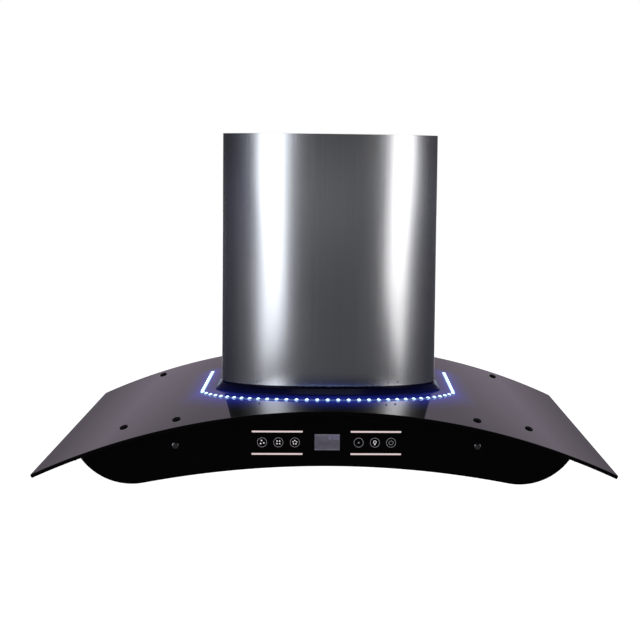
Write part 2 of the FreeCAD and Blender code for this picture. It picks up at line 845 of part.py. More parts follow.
def bead_spots():
    """Plan places of the light points, one pitch apart from the middle of the front outwards."""
    radius, half = value("tape_arc_radius"), value("tape_half_width_x")
    reach = radius * math.asin(half / radius)
    arm = value("tape_corner_y - tape_arm_end_y")
    pitch = value("bead_pitch")
    spots = []
    count = int((reach + arm) / pitch)
    for index in range(-count, count + 1):
        run = abs(index) * pitch
        sign = math.copysign(1, index)
        if run <= reach:
            bearing = run / radius
            x, run_back = sign * radius * math.sin(bearing), radius * math.cos(bearing)
            spots.append((x, value("tape_arc_y") - run_back))
        else:
            spots.append((sign * half, -value("tape_corner_y") + run - reach))
    return spots


def bead_shapes():
    seat = value("bead_seat_radius")
    shapes = []
    for x, y in bead_spots():
        lean = math.asin(x / seat)
        up = FreeCAD.Vector(math.sin(lean), 0, math.cos(lean))
        foot = FreeCAD.Vector(0, y, value("arch_z")) + up * seat
        shapes.append(Part.makeCylinder(value("bead_radius"), value("bead_height"), foot, up))
    return shapes


# Steel body under the glass

def lobed_outline(top_radius, inset, half):
    """Outline of the fascia and the panels behind it: arched top and underside, a round lobe each side."""
    under = f"(under_radius + {inset})"
    lobe = f"(lobe_radius - {inset})"
    join_x = f"({under} * lobe_x / (under_radius + lobe_radius))"
    join_z = on_arc("under_z", under, join_x)
    end_z = under_arc("lobe_z", lobe, f"({half}) - lobe_x")
    return [
        (f"-({half})", on_arch(top_radius, half)),
        (half, on_arch(top_radius, half), top_radius, "right"),
        (half, end_z),
        (join_x, join_z, lobe, "right"),
        (f"-{join_x}", join_z, under, "left"),
        (f"-({half})", end_z, lobe, "right"),
    ]


def make_body_top():
    skin = arched_sheet(
        "body_top", "skin_half_width", "skin_radius", "skin_under_radius", "skin_front_y", "wall_gap")
    opening = rectangle(
        "-air_opening_width / 2", "-air_opening_front", "air_opening_width / 2", "-air_opening_back")
    cut_through(skin, "air_opening", sketch(skin, "air_opening_sketch", TOP, [opening]))
    finish(drill_caps("body_top", skin, "cap_shank_radius + bolt_clearance"), "body_top")


def touch_window():
    half, rise = "touch_opening_width / 2", "touch_opening_height / 2"
    return rectangle(f"-{half}", f"touch_z - {rise}", half, f"touch_z + {rise}")


def bolt_spots():
    return [(mirrored("fascia_bolt_x", sign), "-(crown_drop + fascia_bolt_drop)") for _, sign in SIDES]


def make_panels():
    holes = [(x, z, "fascia_bolt_shank_radius + bolt_clearance") for x, z in bolt_spots()]
    outline = lobed_outline("panel_top_radius", "panel_inset", "panel_half")
    front = slab("body_front", FRONT, [outline, touch_window()], holes, "panel_back_y", "panel_thickness")
    finish(front, "body_front")
    back = slab("body_back", FRONT, [outline], (), "wall_gap", "panel_thickness")
    finish(back, "body_back")


def make_side_walls():
    outer, inner = "panel_lobe_radius", "(panel_lobe_radius - side_wall_sheet)"
    reach, inner_reach = "(panel_half - lobe_x)", "(panel_half - side_wall_sheet - lobe_x)"
    edge = "(lobe_x - side_wall_lip)"
    inner_half = "(panel_half - side_wall_sheet)"
    for side, sign in SIDES:
        inward, outward = ("right", "left") if sign > 0 else ("left", "right")
        outline = [
            (mirrored("panel_half", sign), on_arch("panel_top_radius", "panel_half")),
            (mirrored("panel_half", sign), under_arc("lobe_z", outer, reach)),
            (mirrored(edge, sign), under_arc("lobe_z", outer, "side_wall_lip"), outer, inward),
            (mirrored(edge, sign), under_arc("lobe_z", inner, "side_wall_lip")),
            (mirrored(inner_half, sign), under_arc("lobe_z", inner, inner_reach), inner, outward),
            (mirrored(inner_half, sign), on_arch("panel_top_radius", "panel_half")),
        ]
        wall = slab(f"side_wall_{side}", FRONT, [outline], (), "deck_back_y", "deck_front_y - deck_back_y")
        finish(wall, f"side_wall_{side}")


def filter_opening(sign):
    inner = "filter_middle_gap / 2 + deck_opening_inset"
    outer = "filter_middle_gap / 2 + filter_width - deck_opening_inset"
    return rectangle(
        mirrored(inner, sign), "-(filter_front_y - filter_front_rail)",
        mirrored(outer, sign), "-(filter_back_y + deck_opening_inset)")


def make_deck():
    outline = rectangle("-deck_half", "-deck_front_y", "deck_half", "-deck_back_y")
    openings = [filter_opening(sign) for _, sign in SIDES]
    holes = [(mirrored("lamp_x", sign), "-lamp_y", "lamp_hole_radius") for _, sign in SIDES]
    deck = slab("filter_deck", TOP, [outline] + openings, holes, "deck_under_z", "deck_sheet")
    finish(deck, "filter_deck")


# Fascia and touch controls

def light_bar_spots():
    """Lowest corners of the four lit bars."""
    inner, length, height = "light_bar_inner_x", "light_bar_length", "light_bar_height"
    lefts = (f"-({inner} + {length})", inner)
    drops = ("light_bar_top_drop", "light_bar_low_drop")
    return [(left, f"-(crown_drop + {drop} + {height} / 2)") for left in lefts for drop in drops]


def make_fascia():
    outline = lobed_outline("glass_under_radius - fascia_top_gap", "0", "fascia_half_width")
    half, rise = "display_width / 2", "display_height / 2"
    openings = [rectangle(f"-{half}", f"touch_z - {rise}", half, f"touch_z + {rise}")]
    for left, low in light_bar_spots():
        openings.append(rectangle(left, low, f"{left} + light_bar_length", f"{low} + light_bar_height"))
    holes = [(x, z, "fascia_bolt_shank_radius + bolt_clearance") for x, z in bolt_spots()]
    back = "fascia_front_y - fascia_thickness"
    fascia = slab("fascia", FRONT, [outline] + openings, holes, back, "fascia_thickness")
    finish(fascia, "fascia")
    gap = "inlay_gap"
    window = box(
        "display_window_block", (f"-{half} + {gap}", "-fascia_front_y", f"touch_z - {rise} + {gap}"),
        (f"{half} - {gap}", f"-({back})", f"touch_z + {rise} - {gap}"))
    finish(window, "display_window")
    bars = []
    for index, (left, low) in enumerate(light_bar_spots()):
        bars.append(box(
            f"light_bar_{index}", (f"{left} + {gap}", "-fascia_front_y", f"{low} + {gap}"),
            (f"{left} + light_bar_length - {gap}", f"-({back})", f"{low} + light_bar_height - {gap}")))
    finish(group("light_bars_group", bars), "light_bars")
    bolts = []
    for (side, _), (x, z) in zip(SIDES, bolt_spots()):
        head = cylinder(f"fascia_bolt_head_{side}", "fascia_bolt_radius", "fascia_bolt_height",
                        (x, "-(fascia_front_y + fascia_bolt_height)", z), BACKWARDS)
        shank = cylinder(f"fascia_bolt_shank_{side}", "fascia_bolt_shank_radius", "fascia_bolt_length",
                         (x, "-fascia_front_y", z), BACKWARDS)
        bolts.append(fuse(f"fascia_bolt_{side}", [head, shank]))
    finish(group("fascia_bolts_group", bolts), "fascia_bolts")


def make_electronics():
    board_front = "(panel_back_y - seat_gap)"
    board_back = f"({board_front} - board_thickness)"
    board = box(
        "touch_board_block", ("-board_width / 2", f"-{board_front}", "touch_z - board_height / 2"),
        ("board_width / 2", f"-{board_back}", "touch_z + board_height / 2"))
    finish(board, "touch_board")
    half, rise = "(display_width / 2 - inlay_gap)", "(display_height / 2 - inlay_gap)"
    module_front = "(fascia_front_y - fascia_thickness - inlay_gap)"
    module = box(
        "display_module_block", (f"-{half}", f"-{module_front}", f"touch_z - {rise}"),
        (half, f"-({board_front} + inlay_gap)", f"touch_z + {rise}"))
    finish(module, "display_module")
    wide, front = "power_box_width / 2", "power_box_front_y"
    rear = "(power_box_front_y - power_box_depth)"
    wall, top = "power_box_wall", "(deck_top_z + power_box_height)"
    shell = box("power_box_outside", (f"-{wide}", f"-{front}", "deck_top_z"), (wide, f"-{rear}", top))
    room = box(
        "power_box_inside", (f"-{wide} + {wall}", f"-{front} + {wall}", f"deck_top_z + {wall}"),
        (f"{wide} - {wall}", f"-{rear} - {wall}", f"{top} + overrun"))
    finish(cut("power_box_shell", shell, room), "power_box")
    lid = box(
        "power_box_lid_block", (f"-{wide}", f"-{front}", top), (wide, f"-{rear}", f"{top} + lid_thickness"))
    finish(lid, "power_box_lid")
    driver = box(
        "lamp_driver_block", ("driver_x - driver_width / 2", "-driver_front_y", "deck_top_z"),
        ("driver_x + driver_width / 2", "-driver_front_y + driver_depth", "deck_top_z + driver_height"))
    finish(driver, "lamp_driver")


# Lamps in the deck

def make_lamps():
    sleeve = "(lamp_hole_radius - lamp_fit_gap)"
    bore = f"({sleeve} - lamp_sleeve_wall)"
    ledge = f"({bore} - lens_ledge)"
    low, top = "-lamp_flange_height", "lamp_sleeve_height"
    bezel = [
        (ledge, low), ("lamp_flange_radius", low), ("lamp_flange_radius", "0"), (sleeve, "0"),
        (sleeve, top), (bore, top), (bore, "0"), (ledge, "0"),
    ]
    cup = f"({bore} - lamp_fit_gap)"
    seat = "(inlay_gap + lens_thickness + inlay_gap)"
    room, roof = f"({cup} - lamp_body_wall)", "(lamp_body_height - lamp_body_wall)"
    shell = [
        ("0", roof), (room, roof), (room, seat), (cup, seat), (cup, "lamp_body_height"),
        ("0", "lamp_body_height"),
    ]
    for side, sign in SIDES:
        at = (mirrored("lamp_x", sign), "-lamp_y", "deck_under_z")
        ring = turned(f"lamp_{side}_bezel", bezel)
        place(ring, at)
        finish(ring, f"lamp_{side}_bezel")
        lens_at = at[:2] + ("deck_under_z + inlay_gap",)
        lens = cylinder(f"lamp_{side}_lens_disc", cup, "lens_thickness", lens_at)
        finish(lens, f"lamp_{side}_lens")
        body = turned(f"lamp_{side}_body", shell)
        place(body, at)
        finish(body, f"lamp_{side}_body")


# Grease filters with their hinges and latches

def make_filter_frame(side, sign):
    """Frame of rails with a flange over the baffles' ends, two hinge pins and a pocket for the latch."""
    node = f"filter_{side}_frame"
    body = new_body(node + "_body")
    inner, outer = "filter_middle_gap / 2", "filter_middle_gap / 2 + filter_width"
    outline = rectangle(mirrored(inner, sign), "-filter_front_y", mirrored(outer, sign), "-filter_back_y")
    opening = rectangle(
        mirrored(f"{inner} + filter_rail", sign), "-(filter_front_y - filter_front_rail)",
        mirrored(f"{outer} - filter_rail", sign), "-(filter_back_y + filter_rail)")
    drawing = sketch(body, node + "_plan", TOP, [outline, opening], level="filter_under_z")
    pad(body, node + "_rails", drawing, "filter_height")
    pocket_front = "(filter_front_y - latch_wall / 2)"
    pocket = rectangle(
        f"{sign} * filter_centre_x - latch_width / 2 - slide_gap", f"-{pocket_front}",
        f"{sign} * filter_centre_x + latch_width / 2 + slide_gap", f"-({pocket_front} - latch_room)")
    roof = "latch_top_z + slide_gap"
    cut_deep(
        body, node + "_pocket", sketch(body, node + "_pocket_plan", TOP, [pocket], level=roof),
        "filter_height")
    slot = rectangle(
        f"{sign} * filter_centre_x - latch_tongue_width / 2 - slide_gap", "-filter_front_y - overrun",
        f"{sign} * filter_centre_x + latch_tongue_width / 2 + slide_gap", f"-({pocket_front} - slide_gap)")
    cut_deep(
        body, node + "_slot", sketch(body, node + "_slot_plan", TOP, [slot], level=roof),
        "latch_tongue_height + 2 * slide_gap")
    corner = [
        ("-filter_back_y + overrun", "filter_top_z + overrun"),
        ("-filter_back_y - filter_edge_chamfer - overrun", "filter_top_z + overrun"),
        ("-filter_back_y + overrun", "filter_top_z - filter_edge_chamfer - overrun"),
    ]
    body.Tip = cut_through(body, node + "_edge", sketch(body, node + "_edge_sketch", SIDE, [corner]))
    pins = [
        cylinder(f"{node}_pin_{end}", "hinge_pin_radius", "hinge_pin_length + filter_rail / 2",
                 (start, "-hinge_y", "hinge_z"), RIGHTWARDS)
        for end, start in (
            ("near", f"{sign} * filter_centre_x - filter_width / 2 - hinge_pin_length"),
            ("far", f"{sign} * filter_centre_x + filter_width / 2 - filter_rail / 2"))
    ]
    return body, pins


def make_baffles(side, sign):
    """Two layers of channels, set half a pitch apart so that air has to turn twice between them."""
    node = f"filter_{side}_baffles"
    body = new_body(node + "_body")
    room = "(filter_width - 2 * filter_rail)"
    pitch = f"({room} / baffle_count)"
    left = f"({sign} * filter_centre_x - {room} / 2)"
    low = "(filter_under_z + filter_flange)"
    high = f"({low} + baffle_leg + baffle_leg + baffle_layer_gap)"
    back = "filter_back_y + filter_rail + seat_gap"
    length = "filter_depth - filter_rail - filter_front_rail - 2 * seat_gap"
    layers = (("lower", f"{left} + {pitch} / 2", low, 1, "baffle_count"),
              ("upper", f"{left} + {pitch}", high, -1, "baffle_count - 1"))
    for layer, centre, base, up, count in layers:
        half, leg, wall = "baffle_width / 2", f"{up} * baffle_leg", "baffle_sheet"
        outline = [
            (f"{centre} - {half}", base), (f"{centre} + {half}", base),
            (f"{centre} + {half}", f"{base} + {leg}"), (f"{centre} + {half} - {wall}", f"{base} + {leg}"),
            (f"{centre} + {half} - {wall}", f"{base} + {up} * {wall}"),
            (f"{centre} - {half} + {wall}", f"{base} + {up} * {wall}"),
            (f"{centre} - {half} + {wall}", f"{base} + {leg}"), (f"{centre} - {half}", f"{base} + {leg}"),
        ]
        section = sketch(body, f"{node}_{layer}_section", FRONT, [outline], level=back)
        channel = pad(body, f"{node}_{layer}", section, length)
        document.recompute()
        row = body.newObject("PartDesign::LinearPattern", f"{node}_{layer}_row")
        row.Originals = [channel]
        row.Direction = (origin_of(body, "X_Axis"), [""])
        row.Mode = "Spacing"
        bind(row, "Offset", pitch)
        bind(row, "Occurrences", count)
        body.Tip = row
    return body


def make_latch(side, sign):
    """Slider with a tongue at its front and a finger ridge below."""
    node = f"filter_{side}_latch"
    centre = f"{sign} * filter_centre_x"
    front = "(filter_front_y - latch_wall / 2 - slide_gap)"
    block = box(
        node + "_block", (f"{centre} - latch_width / 2", f"-{front}", "filter_under_z"),
        (f"{centre} + latch_width / 2", f"-({front} - latch_length)", "latch_top_z"))
    tongue = box(
        node + "_tongue",
        (f"{centre} - latch_tongue_width / 2", "-(filter_front_y + latch_tongue_reach)",
         "latch_top_z - latch_tongue_height"),
        (f"{centre} + latch_tongue_width / 2", f"-({front} - latch_length / 2)", "latch_top_z"))
    ridge = box(
        node + "_ridge",
        (f"{centre} - latch_width / 3", f"-({front} - latch_ridge_length)",
         "filter_under_z - latch_ridge_height"),
        (f"{centre} + latch_width / 3", f"-({front} - 2 * latch_ridge_length)",
         "filter_under_z + latch_height / 2"))
    return fuse(node + "_solid", [block, tongue, ridge])


def make_hinge_brackets():
    """Ears under the deck that take the hinge pins, one at each end of each filter."""
    ears = []
    wall, width = "hinge_bracket_wall", "hinge_bracket_width / 2"
    thick = "hinge_bracket_sheet"
    inner = f"(filter_middle_gap / 2 - seat_gap - {thick})"
    outer = "(filter_middle_gap / 2 + filter_width + seat_gap)"
    spots = [
        ("left_outer", f"-({outer} + {thick})"), ("left_inner", f"-({inner} + {thick})"),
        ("right_inner", inner), ("right_outer", outer),
    ]
    for name, start in spots:
        outline = [
            (f"-hinge_y - {width}", "deck_under_z"),
            (f"-hinge_y - {width}", f"hinge_z - hinge_pin_radius - {wall}"),
            (f"-hinge_y + {width}", f"hinge_z - hinge_pin_radius - {wall}"),
            (f"-hinge_y + {width}", "deck_under_z"),
        ]
        hole = [("-hinge_y", "hinge_z", "hinge_pin_radius + running_gap")]
        ears.append(slab(f"hinge_ear_{name}", SIDE, [outline], hole, start, thick))
    finish(group("hinge_brackets_group", ears), "hinge_brackets")


def make_filters():
    for side, sign in SIDES:
        frame, pins = make_filter_frame(side, sign)
        finish(fuse(f"filter_{side}_frame_solid", [frame] + pins), f"filter_{side}_frame")
        finish(make_baffles(side, sign), f"filter_{side}_baffles")
        finish(make_latch(side, sign), f"filter_{side}_latch")
    make_hinge_brackets()


# Wall bracket and motor box

def make_wall_bracket():
    body = new_body("wall_bracket_body")
    thick = "bracket_sheet"
    lip_back = f"({thick} + hook_room)"
    lip_front = f"({lip_back} + {thick})"
    floor = "-(hook_drop + hook_depth)"
    outline = [
        ("0", "bracket_above"),
        (f"-{thick}", "bracket_above"),
        (f"-{thick}", f"{floor} + {thick}"),
        (f"-{lip_back}", f"{floor} + {thick}"),
        (f"-{lip_back}", "-hook_drop"),
        (f"-{lip_front}", "-hook_drop"),
        (f"-{lip_front}", floor),
        ("0", floor),
    ]
    drawing = sketch(body, "wall_bracket_section", SIDE, [outline], level="-bracket_width / 2")
    pad(body, "wall_bracket_strip", drawing, "bracket_width")
    holes = [
        (mirrored("hole_spacing_x / 2", across), mirrored("hole_spacing_z / 2", up), "hole_radius")
        for across in (-1, 1) for up in (-1, 1)
    ]
    cut_deep(body, "wall_bracket_holes",
             sketch(body, "wall_bracket_hole_places", FRONT, circles=holes, level=f"{thick} + inlay_gap"),
             f"{thick} + 2 * inlay_gap")
    finish(body, "wall_bracket")


def flange_screw_spots():
    """The outlet's four screws, on a circle round its bore."""
    reach = "flange_screw_reach"
    across = [(mirrored(reach, sign), "outlet_y") for _, sign in SIDES]
    return across + [("0", f"outlet_y + {mirrored(reach, sign)}") for _, sign in SIDES]


def small_screw(name, seat, turn):
    """A round head on a shank, the shank pointing back along its axis from the seat."""
    aim = FreeCAD.Rotation(turn[0], value(turn[1])).multVec(Z_AXIS)
    back = [f"{text} - {round(part)} * small_screw_length" for text, part in zip(seat, aim)]
    head = cylinder(name + "_head", "small_screw_head_radius", "small_screw_head_height", seat, turn)
    shank = cylinder(name + "_shank", "small_screw_shank_radius", "small_screw_length", back, turn)
    return fuse(name, [head, shank])


def make_plenum():
    wall = "plenum_sheet"
    back, top = "plenum_back_y", "plenum_top_z"
    tongue_front = "(bracket_sheet + hook_side_gap + plenum_sheet)"
    tongue_back = "(bracket_sheet + hook_side_gap)"
    foot = "-crown_drop + hook_room"
    outline = [
        (f"-{tongue_back}", f"{top} + {wall}"),
        (f"-{back}", f"{top} + {wall}"),
        (f"-{back}", foot),
        (f"-({back} - {wall})", foot),
        (f"-({back} - {wall})", top),
        (f"-{tongue_front}", top),
        (f"-{tongue_front}", f"{top} - hook_depth / 2"),
        (f"-{tongue_back}", f"{top} - hook_depth / 2"),
    ]
    finish(slab("plenum_back", SIDE, [outline], (), "-plenum_half", "plenum_width"), "plenum_back")
    body = new_body("plenum_shell_body")
    low = "-(crown_drop + hook_drop)"
    rear = "(plenum_back_y + seat_gap)"
    wide, narrow = "plenum_half", "plenum_inner_half"
    plan = [
        (f"-{wide}", f"-{rear}"), (f"-{wide}", "-plenum_reach"), (wide, "-plenum_reach"), (wide, f"-{rear}"),
        (narrow, f"-{rear}"), (narrow, f"-(plenum_reach - {wall})"),
        (f"-{narrow}", f"-(plenum_reach - {wall})"), (f"-{narrow}", f"-{rear}"),
    ]
    pad(body, "plenum_walls", sketch(body, "plenum_plan", TOP, [plan], level=low),
        f"{top} - {wall} - ({low})")
    gland_hole = ("gland_x", "-gland_y", "gland_thread_radius + gland_clearance")
    holes = [("0", "outlet_y", "spigot_bore_radius"), gland_hole]
    holes += [(x, y, SMALL_HOLE) for x, y in flange_screw_spots()]
    lid_plan = rectangle(f"-{wide}", "-plenum_reach", wide, f"-{rear}")
    pad(body, "plenum_lid", sketch(body, "plenum_lid_plan", TOP, [lid_plan], holes, f"{top} - {wall}"),
        wall)
    room = "(plenum_half + overrun)"
    floor = "-(crown_drop + hook_drop + 2 * overrun)"
    foot_radius = "(skin_radius + seat_gap)"
    below = [
        (f"-{room}", floor),
        (f"-{room}", on_arch(foot_radius, room)),
        (room, on_arch(foot_radius, room), foot_radius, "right"),
        (room, floor),
    ]
    cut_through(body, "plenum_foot", sketch(body, "plenum_foot_sketch", FRONT, [below]))
    finish(body, "plenum_shell")


# Blower

def scroll_path(offset):
    """The spiral's outline, offset outwards, from the cutoff to the outlet: three growing quarter turns."""
    first, second, third = (f"(scroll_radius + {turns} * scroll_step + {offset})" for turns in (0, 1, 2))
    centre_y, centre_z, step = "-blower_y", "blower_z", "scroll_step"
    return [
        (centre_y, f"{centre_z} + {first}"),
        (f"{centre_y} - {first}", centre_z, first, "left"),
        (f"{centre_y} + {step}", f"{centre_z} - {second}", second, "left"),
        (f"{centre_y} + {step} + {third}", f"{centre_z} + {step}", third, "left"),
    ]


def spider_screw_spots():
    """One screw at the end of each arm of the motor's bracket, from the motor's axis."""
    count = int(value("spider_arm_count"))
    bearings = [f"({index} * 360 / spider_arm_count)" for index in range(count)]
    return [(f"-spider_screw_reach * sin({turn})", f"spider_screw_reach * cos({turn})") for turn in bearings]


def make_scroll():
    outer, inner = scroll_path("scroll_sheet"), scroll_path("0")
    outlet_out, outlet_in = outer[-1][0], inner[-1][0]
    start_out = ("cutoff_y + scroll_sheet", outer[0][1])
    corners = [
        ("cutoff_y", "scroll_top_z"),
        ("cutoff_y", outer[0][1]),
        outer[0], outer[1], outer[2], outer[3],
        (outlet_out, "scroll_top_z"),
        (outlet_in, "scroll_top_z"),
        inner[3][:2],
        inner[2][:2] + ("(scroll_radius + 2 * scroll_step)", "right"),
        inner[1][:2] + ("(scroll_radius + scroll_step)", "right"),
        inner[0][:2] + ("scroll_radius", "right"),
        (start_out[0], inner[0][1]),
        (start_out[0], "scroll_top_z"),
    ]
    wrap = slab("scroll_wrap", SIDE, [corners], (), "-blower_half", "scroll_width")
    finish(wrap, "scroll_wrap")
    side_outline = [
        ("cutoff_y", "scroll_top_z"),
        ("cutoff_y", outer[0][1]),
        outer[0], outer[1], outer[2], outer[3],
        (outlet_out, "scroll_top_z"),
    ]
    for side, sign in SIDES:
        start = "blower_half + inlay_gap" if sign > 0 else "-(blower_half + inlay_gap + scroll_sheet)"
        holes = [("-blower_y", "blower_z", "inlet_radius")]
        if side == "right":
            holes += [(f"-blower_y + {y}", f"blower_z + {z}", SMALL_HOLE) for y, z in spider_screw_spots()]
        plate = slab(f"scroll_side_{side}", SIDE, [side_outline], holes, start, "scroll_sheet")
        lip = "-inlet_lip" if sign > 0 else "0"
        lip_radii = ("inlet_radius + scroll_sheet", "inlet_radius")
        lip_edges = [("-blower_y", "blower_z", radius) for radius in lip_radii]
        ring = sketch(
            plate, f"inlet_{side}_lip_sketch", SIDE, circles=lip_edges, level=f"{start} + {lip}")
        pad(plate, f"inlet_{side}_lip", ring, "inlet_lip + scroll_sheet")
        finish(plate, f"scroll_side_{side}")


def make_impeller():
    """Double wheel: blades through a middle disc, a ring at each end, and a hub on the shaft."""
    body = new_body("impeller_body")
    disc = sketch(body, "hub_disc_sketch", SIDE, circles=[
        ("0", "0", "impeller_inner_radius + blade_sheet"), ("0", "0", "shaft_radius + shaft_fit_gap")],
        level="-hub_disc_sheet / 2")
    pad(body, "hub_disc", disc, "hub_disc_sheet")
    hub = sketch(body, "hub_sketch", SIDE, circles=[
        ("0", "0", "hub_radius"), ("0", "0", "shaft_radius + shaft_fit_gap")], level="-hub_length")
    pad(body, "hub", hub, "hub_length")
    for end, start in (("left", "-impeller_width / 2"), ("right", "impeller_width / 2 - end_ring_width")):
        ring = sketch(body, f"end_ring_{end}_sketch", SIDE, circles=[
            ("0", "0", "impeller_radius"), ("0", "0", "impeller_radius - end_ring_width")], level=start)
        pad(body, f"end_ring_{end}", ring, "end_ring_width")
    inner, outer = "impeller_inner_radius", "(impeller_radius - end_ring_width / 2)"
    blade_outline = [
        ("-blade_sheet / 2", inner), ("blade_sheet / 2", inner),
        ("blade_sheet / 2 + blade_slant", outer), ("-blade_sheet / 2 + blade_slant", outer),
    ]
    blade_section = sketch(body, "blade_sketch", SIDE, [blade_outline], level="-impeller_width / 2")
    blade = pad(body, "blade", blade_section, "impeller_width")
    document.recompute()
    wheel = body.newObject("PartDesign::PolarPattern", "blades")
    wheel.Originals = [blade]
    wheel.Axis = (origin_of(body, "X_Axis"), [""])
    wheel.Angle = 360
    bind(wheel, "Occurrences", "blade_count")
    body.Tip = wheel
    place(body, ("0", "-blower_y", "blower_z"))
    finish(body, "impeller")


def make_motor():
    gap = "running_gap"
    start, end = "motor_start", "(motor_start + motor_length)"
    shaft_hole, nose = f"(shaft_radius + {gap})", "motor_nose_radius"
    shoulder = "motor_shoulder"
    shoulder_radius = f"(motor_radius - {shoulder} / 2)"
    outline = [
        (start, shaft_hole), (end, shaft_hole), (end, nose), (f"{end} - {shoulder}", nose),
        (f"{end} - {shoulder}", shoulder_radius), (f"{end} - 2 * {shoulder}", "motor_radius"),
        (f"{start} + 2 * {shoulder}", "motor_radius"), (f"{start} + {shoulder}", shoulder_radius),
        (f"{start} + {shoulder}", nose), (start, nose),
    ]
    motor = turned("motor", outline, "X_Axis")
    place(motor, ("0", "-blower_y", "blower_z"))
    finish(motor, "motor")
    shaft = cylinder("motor_shaft_rod", "shaft_radius", f"hub_length + {end} - {shoulder} / 2",
                     ("-hub_length", "-blower_y", "blower_z"), RIGHTWARDS)
    finish(shaft, "motor_shaft")
    spider = new_body("motor_bracket_body")
    face = "spider_face"
    ring_inner, ring_outer = "(motor_radius + spider_gap)", "(motor_radius + spider_gap + spider_ring)"
    ring_edges = [("0", "0", ring_outer), ("0", "0", ring_inner)]
    ring = sketch(spider, "spider_ring_sketch", SIDE, circles=ring_edges, level=face)
    pad(spider, "spider_ring_pad", ring, "spider_sheet")
    arm_outline = rectangle(
        "-spider_arm_width / 2", "motor_radius + spider_gap + spider_ring / 2", "spider_arm_width / 2",
        "spider_arm_reach")
    arm = pad(spider, "spider_arm", sketch(spider, "spider_arm_sketch", SIDE, [arm_outline], level=face),
              "spider_sheet")
    document.recompute()
    arms = spider.newObject("PartDesign::PolarPattern", "spider_arms")
    arms.Originals = [arm]
    arms.Axis = (origin_of(spider, "X_Axis"), [""])
    arms.Angle = 360
    bind(arms, "Occurrences", "spider_arm_count")
    spider.Tip = arms
    holes = [(y, z, SMALL_HOLE) for y, z in spider_screw_spots()]
    drill_plan = sketch(spider, "spider_hole_places", SIDE, circles=holes)
    spider.Tip = cut_through(spider, "spider_holes", drill_plan)
    place(spider, ("0", "-blower_y", "blower_z"))
    finish(spider, "motor_bracket")
    screws = [
        small_screw(f"spider_screw_{index}",
                    ("spider_face + spider_sheet", f"-blower_y + {y}", f"blower_z + {z}"), RIGHTWARDS)
        for index, (y, z) in enumerate(spider_screw_spots())
    ]
    finish(group("motor_bracket_screws_group", screws), "motor_bracket_screws")


def make_capacitor():
    band = "(capacitor_radius + inlay_gap)"
    strap = f"({band} + clip_wall)"
    x = f"(-(plenum_inner_half - seat_gap - {strap}))"
    at = (x, "-capacitor_y", "-(hook_drop + capacitor_base_drop)")
    finish(cylinder("capacitor_can", "capacitor_radius", "capacitor_length", at), "capacitor")
    clip_at = (x, "-capacitor_y", f"{at[2]} + clip_rise")
    clip = cut("capacitor_clip_ring", cylinder("clip_outside", strap, "clip_height", clip_at),
               cylinder("clip_inside", band, "clip_height", clip_at))
    finish(clip, "capacitor_clip")


# Outlet with two flaps that only let air out

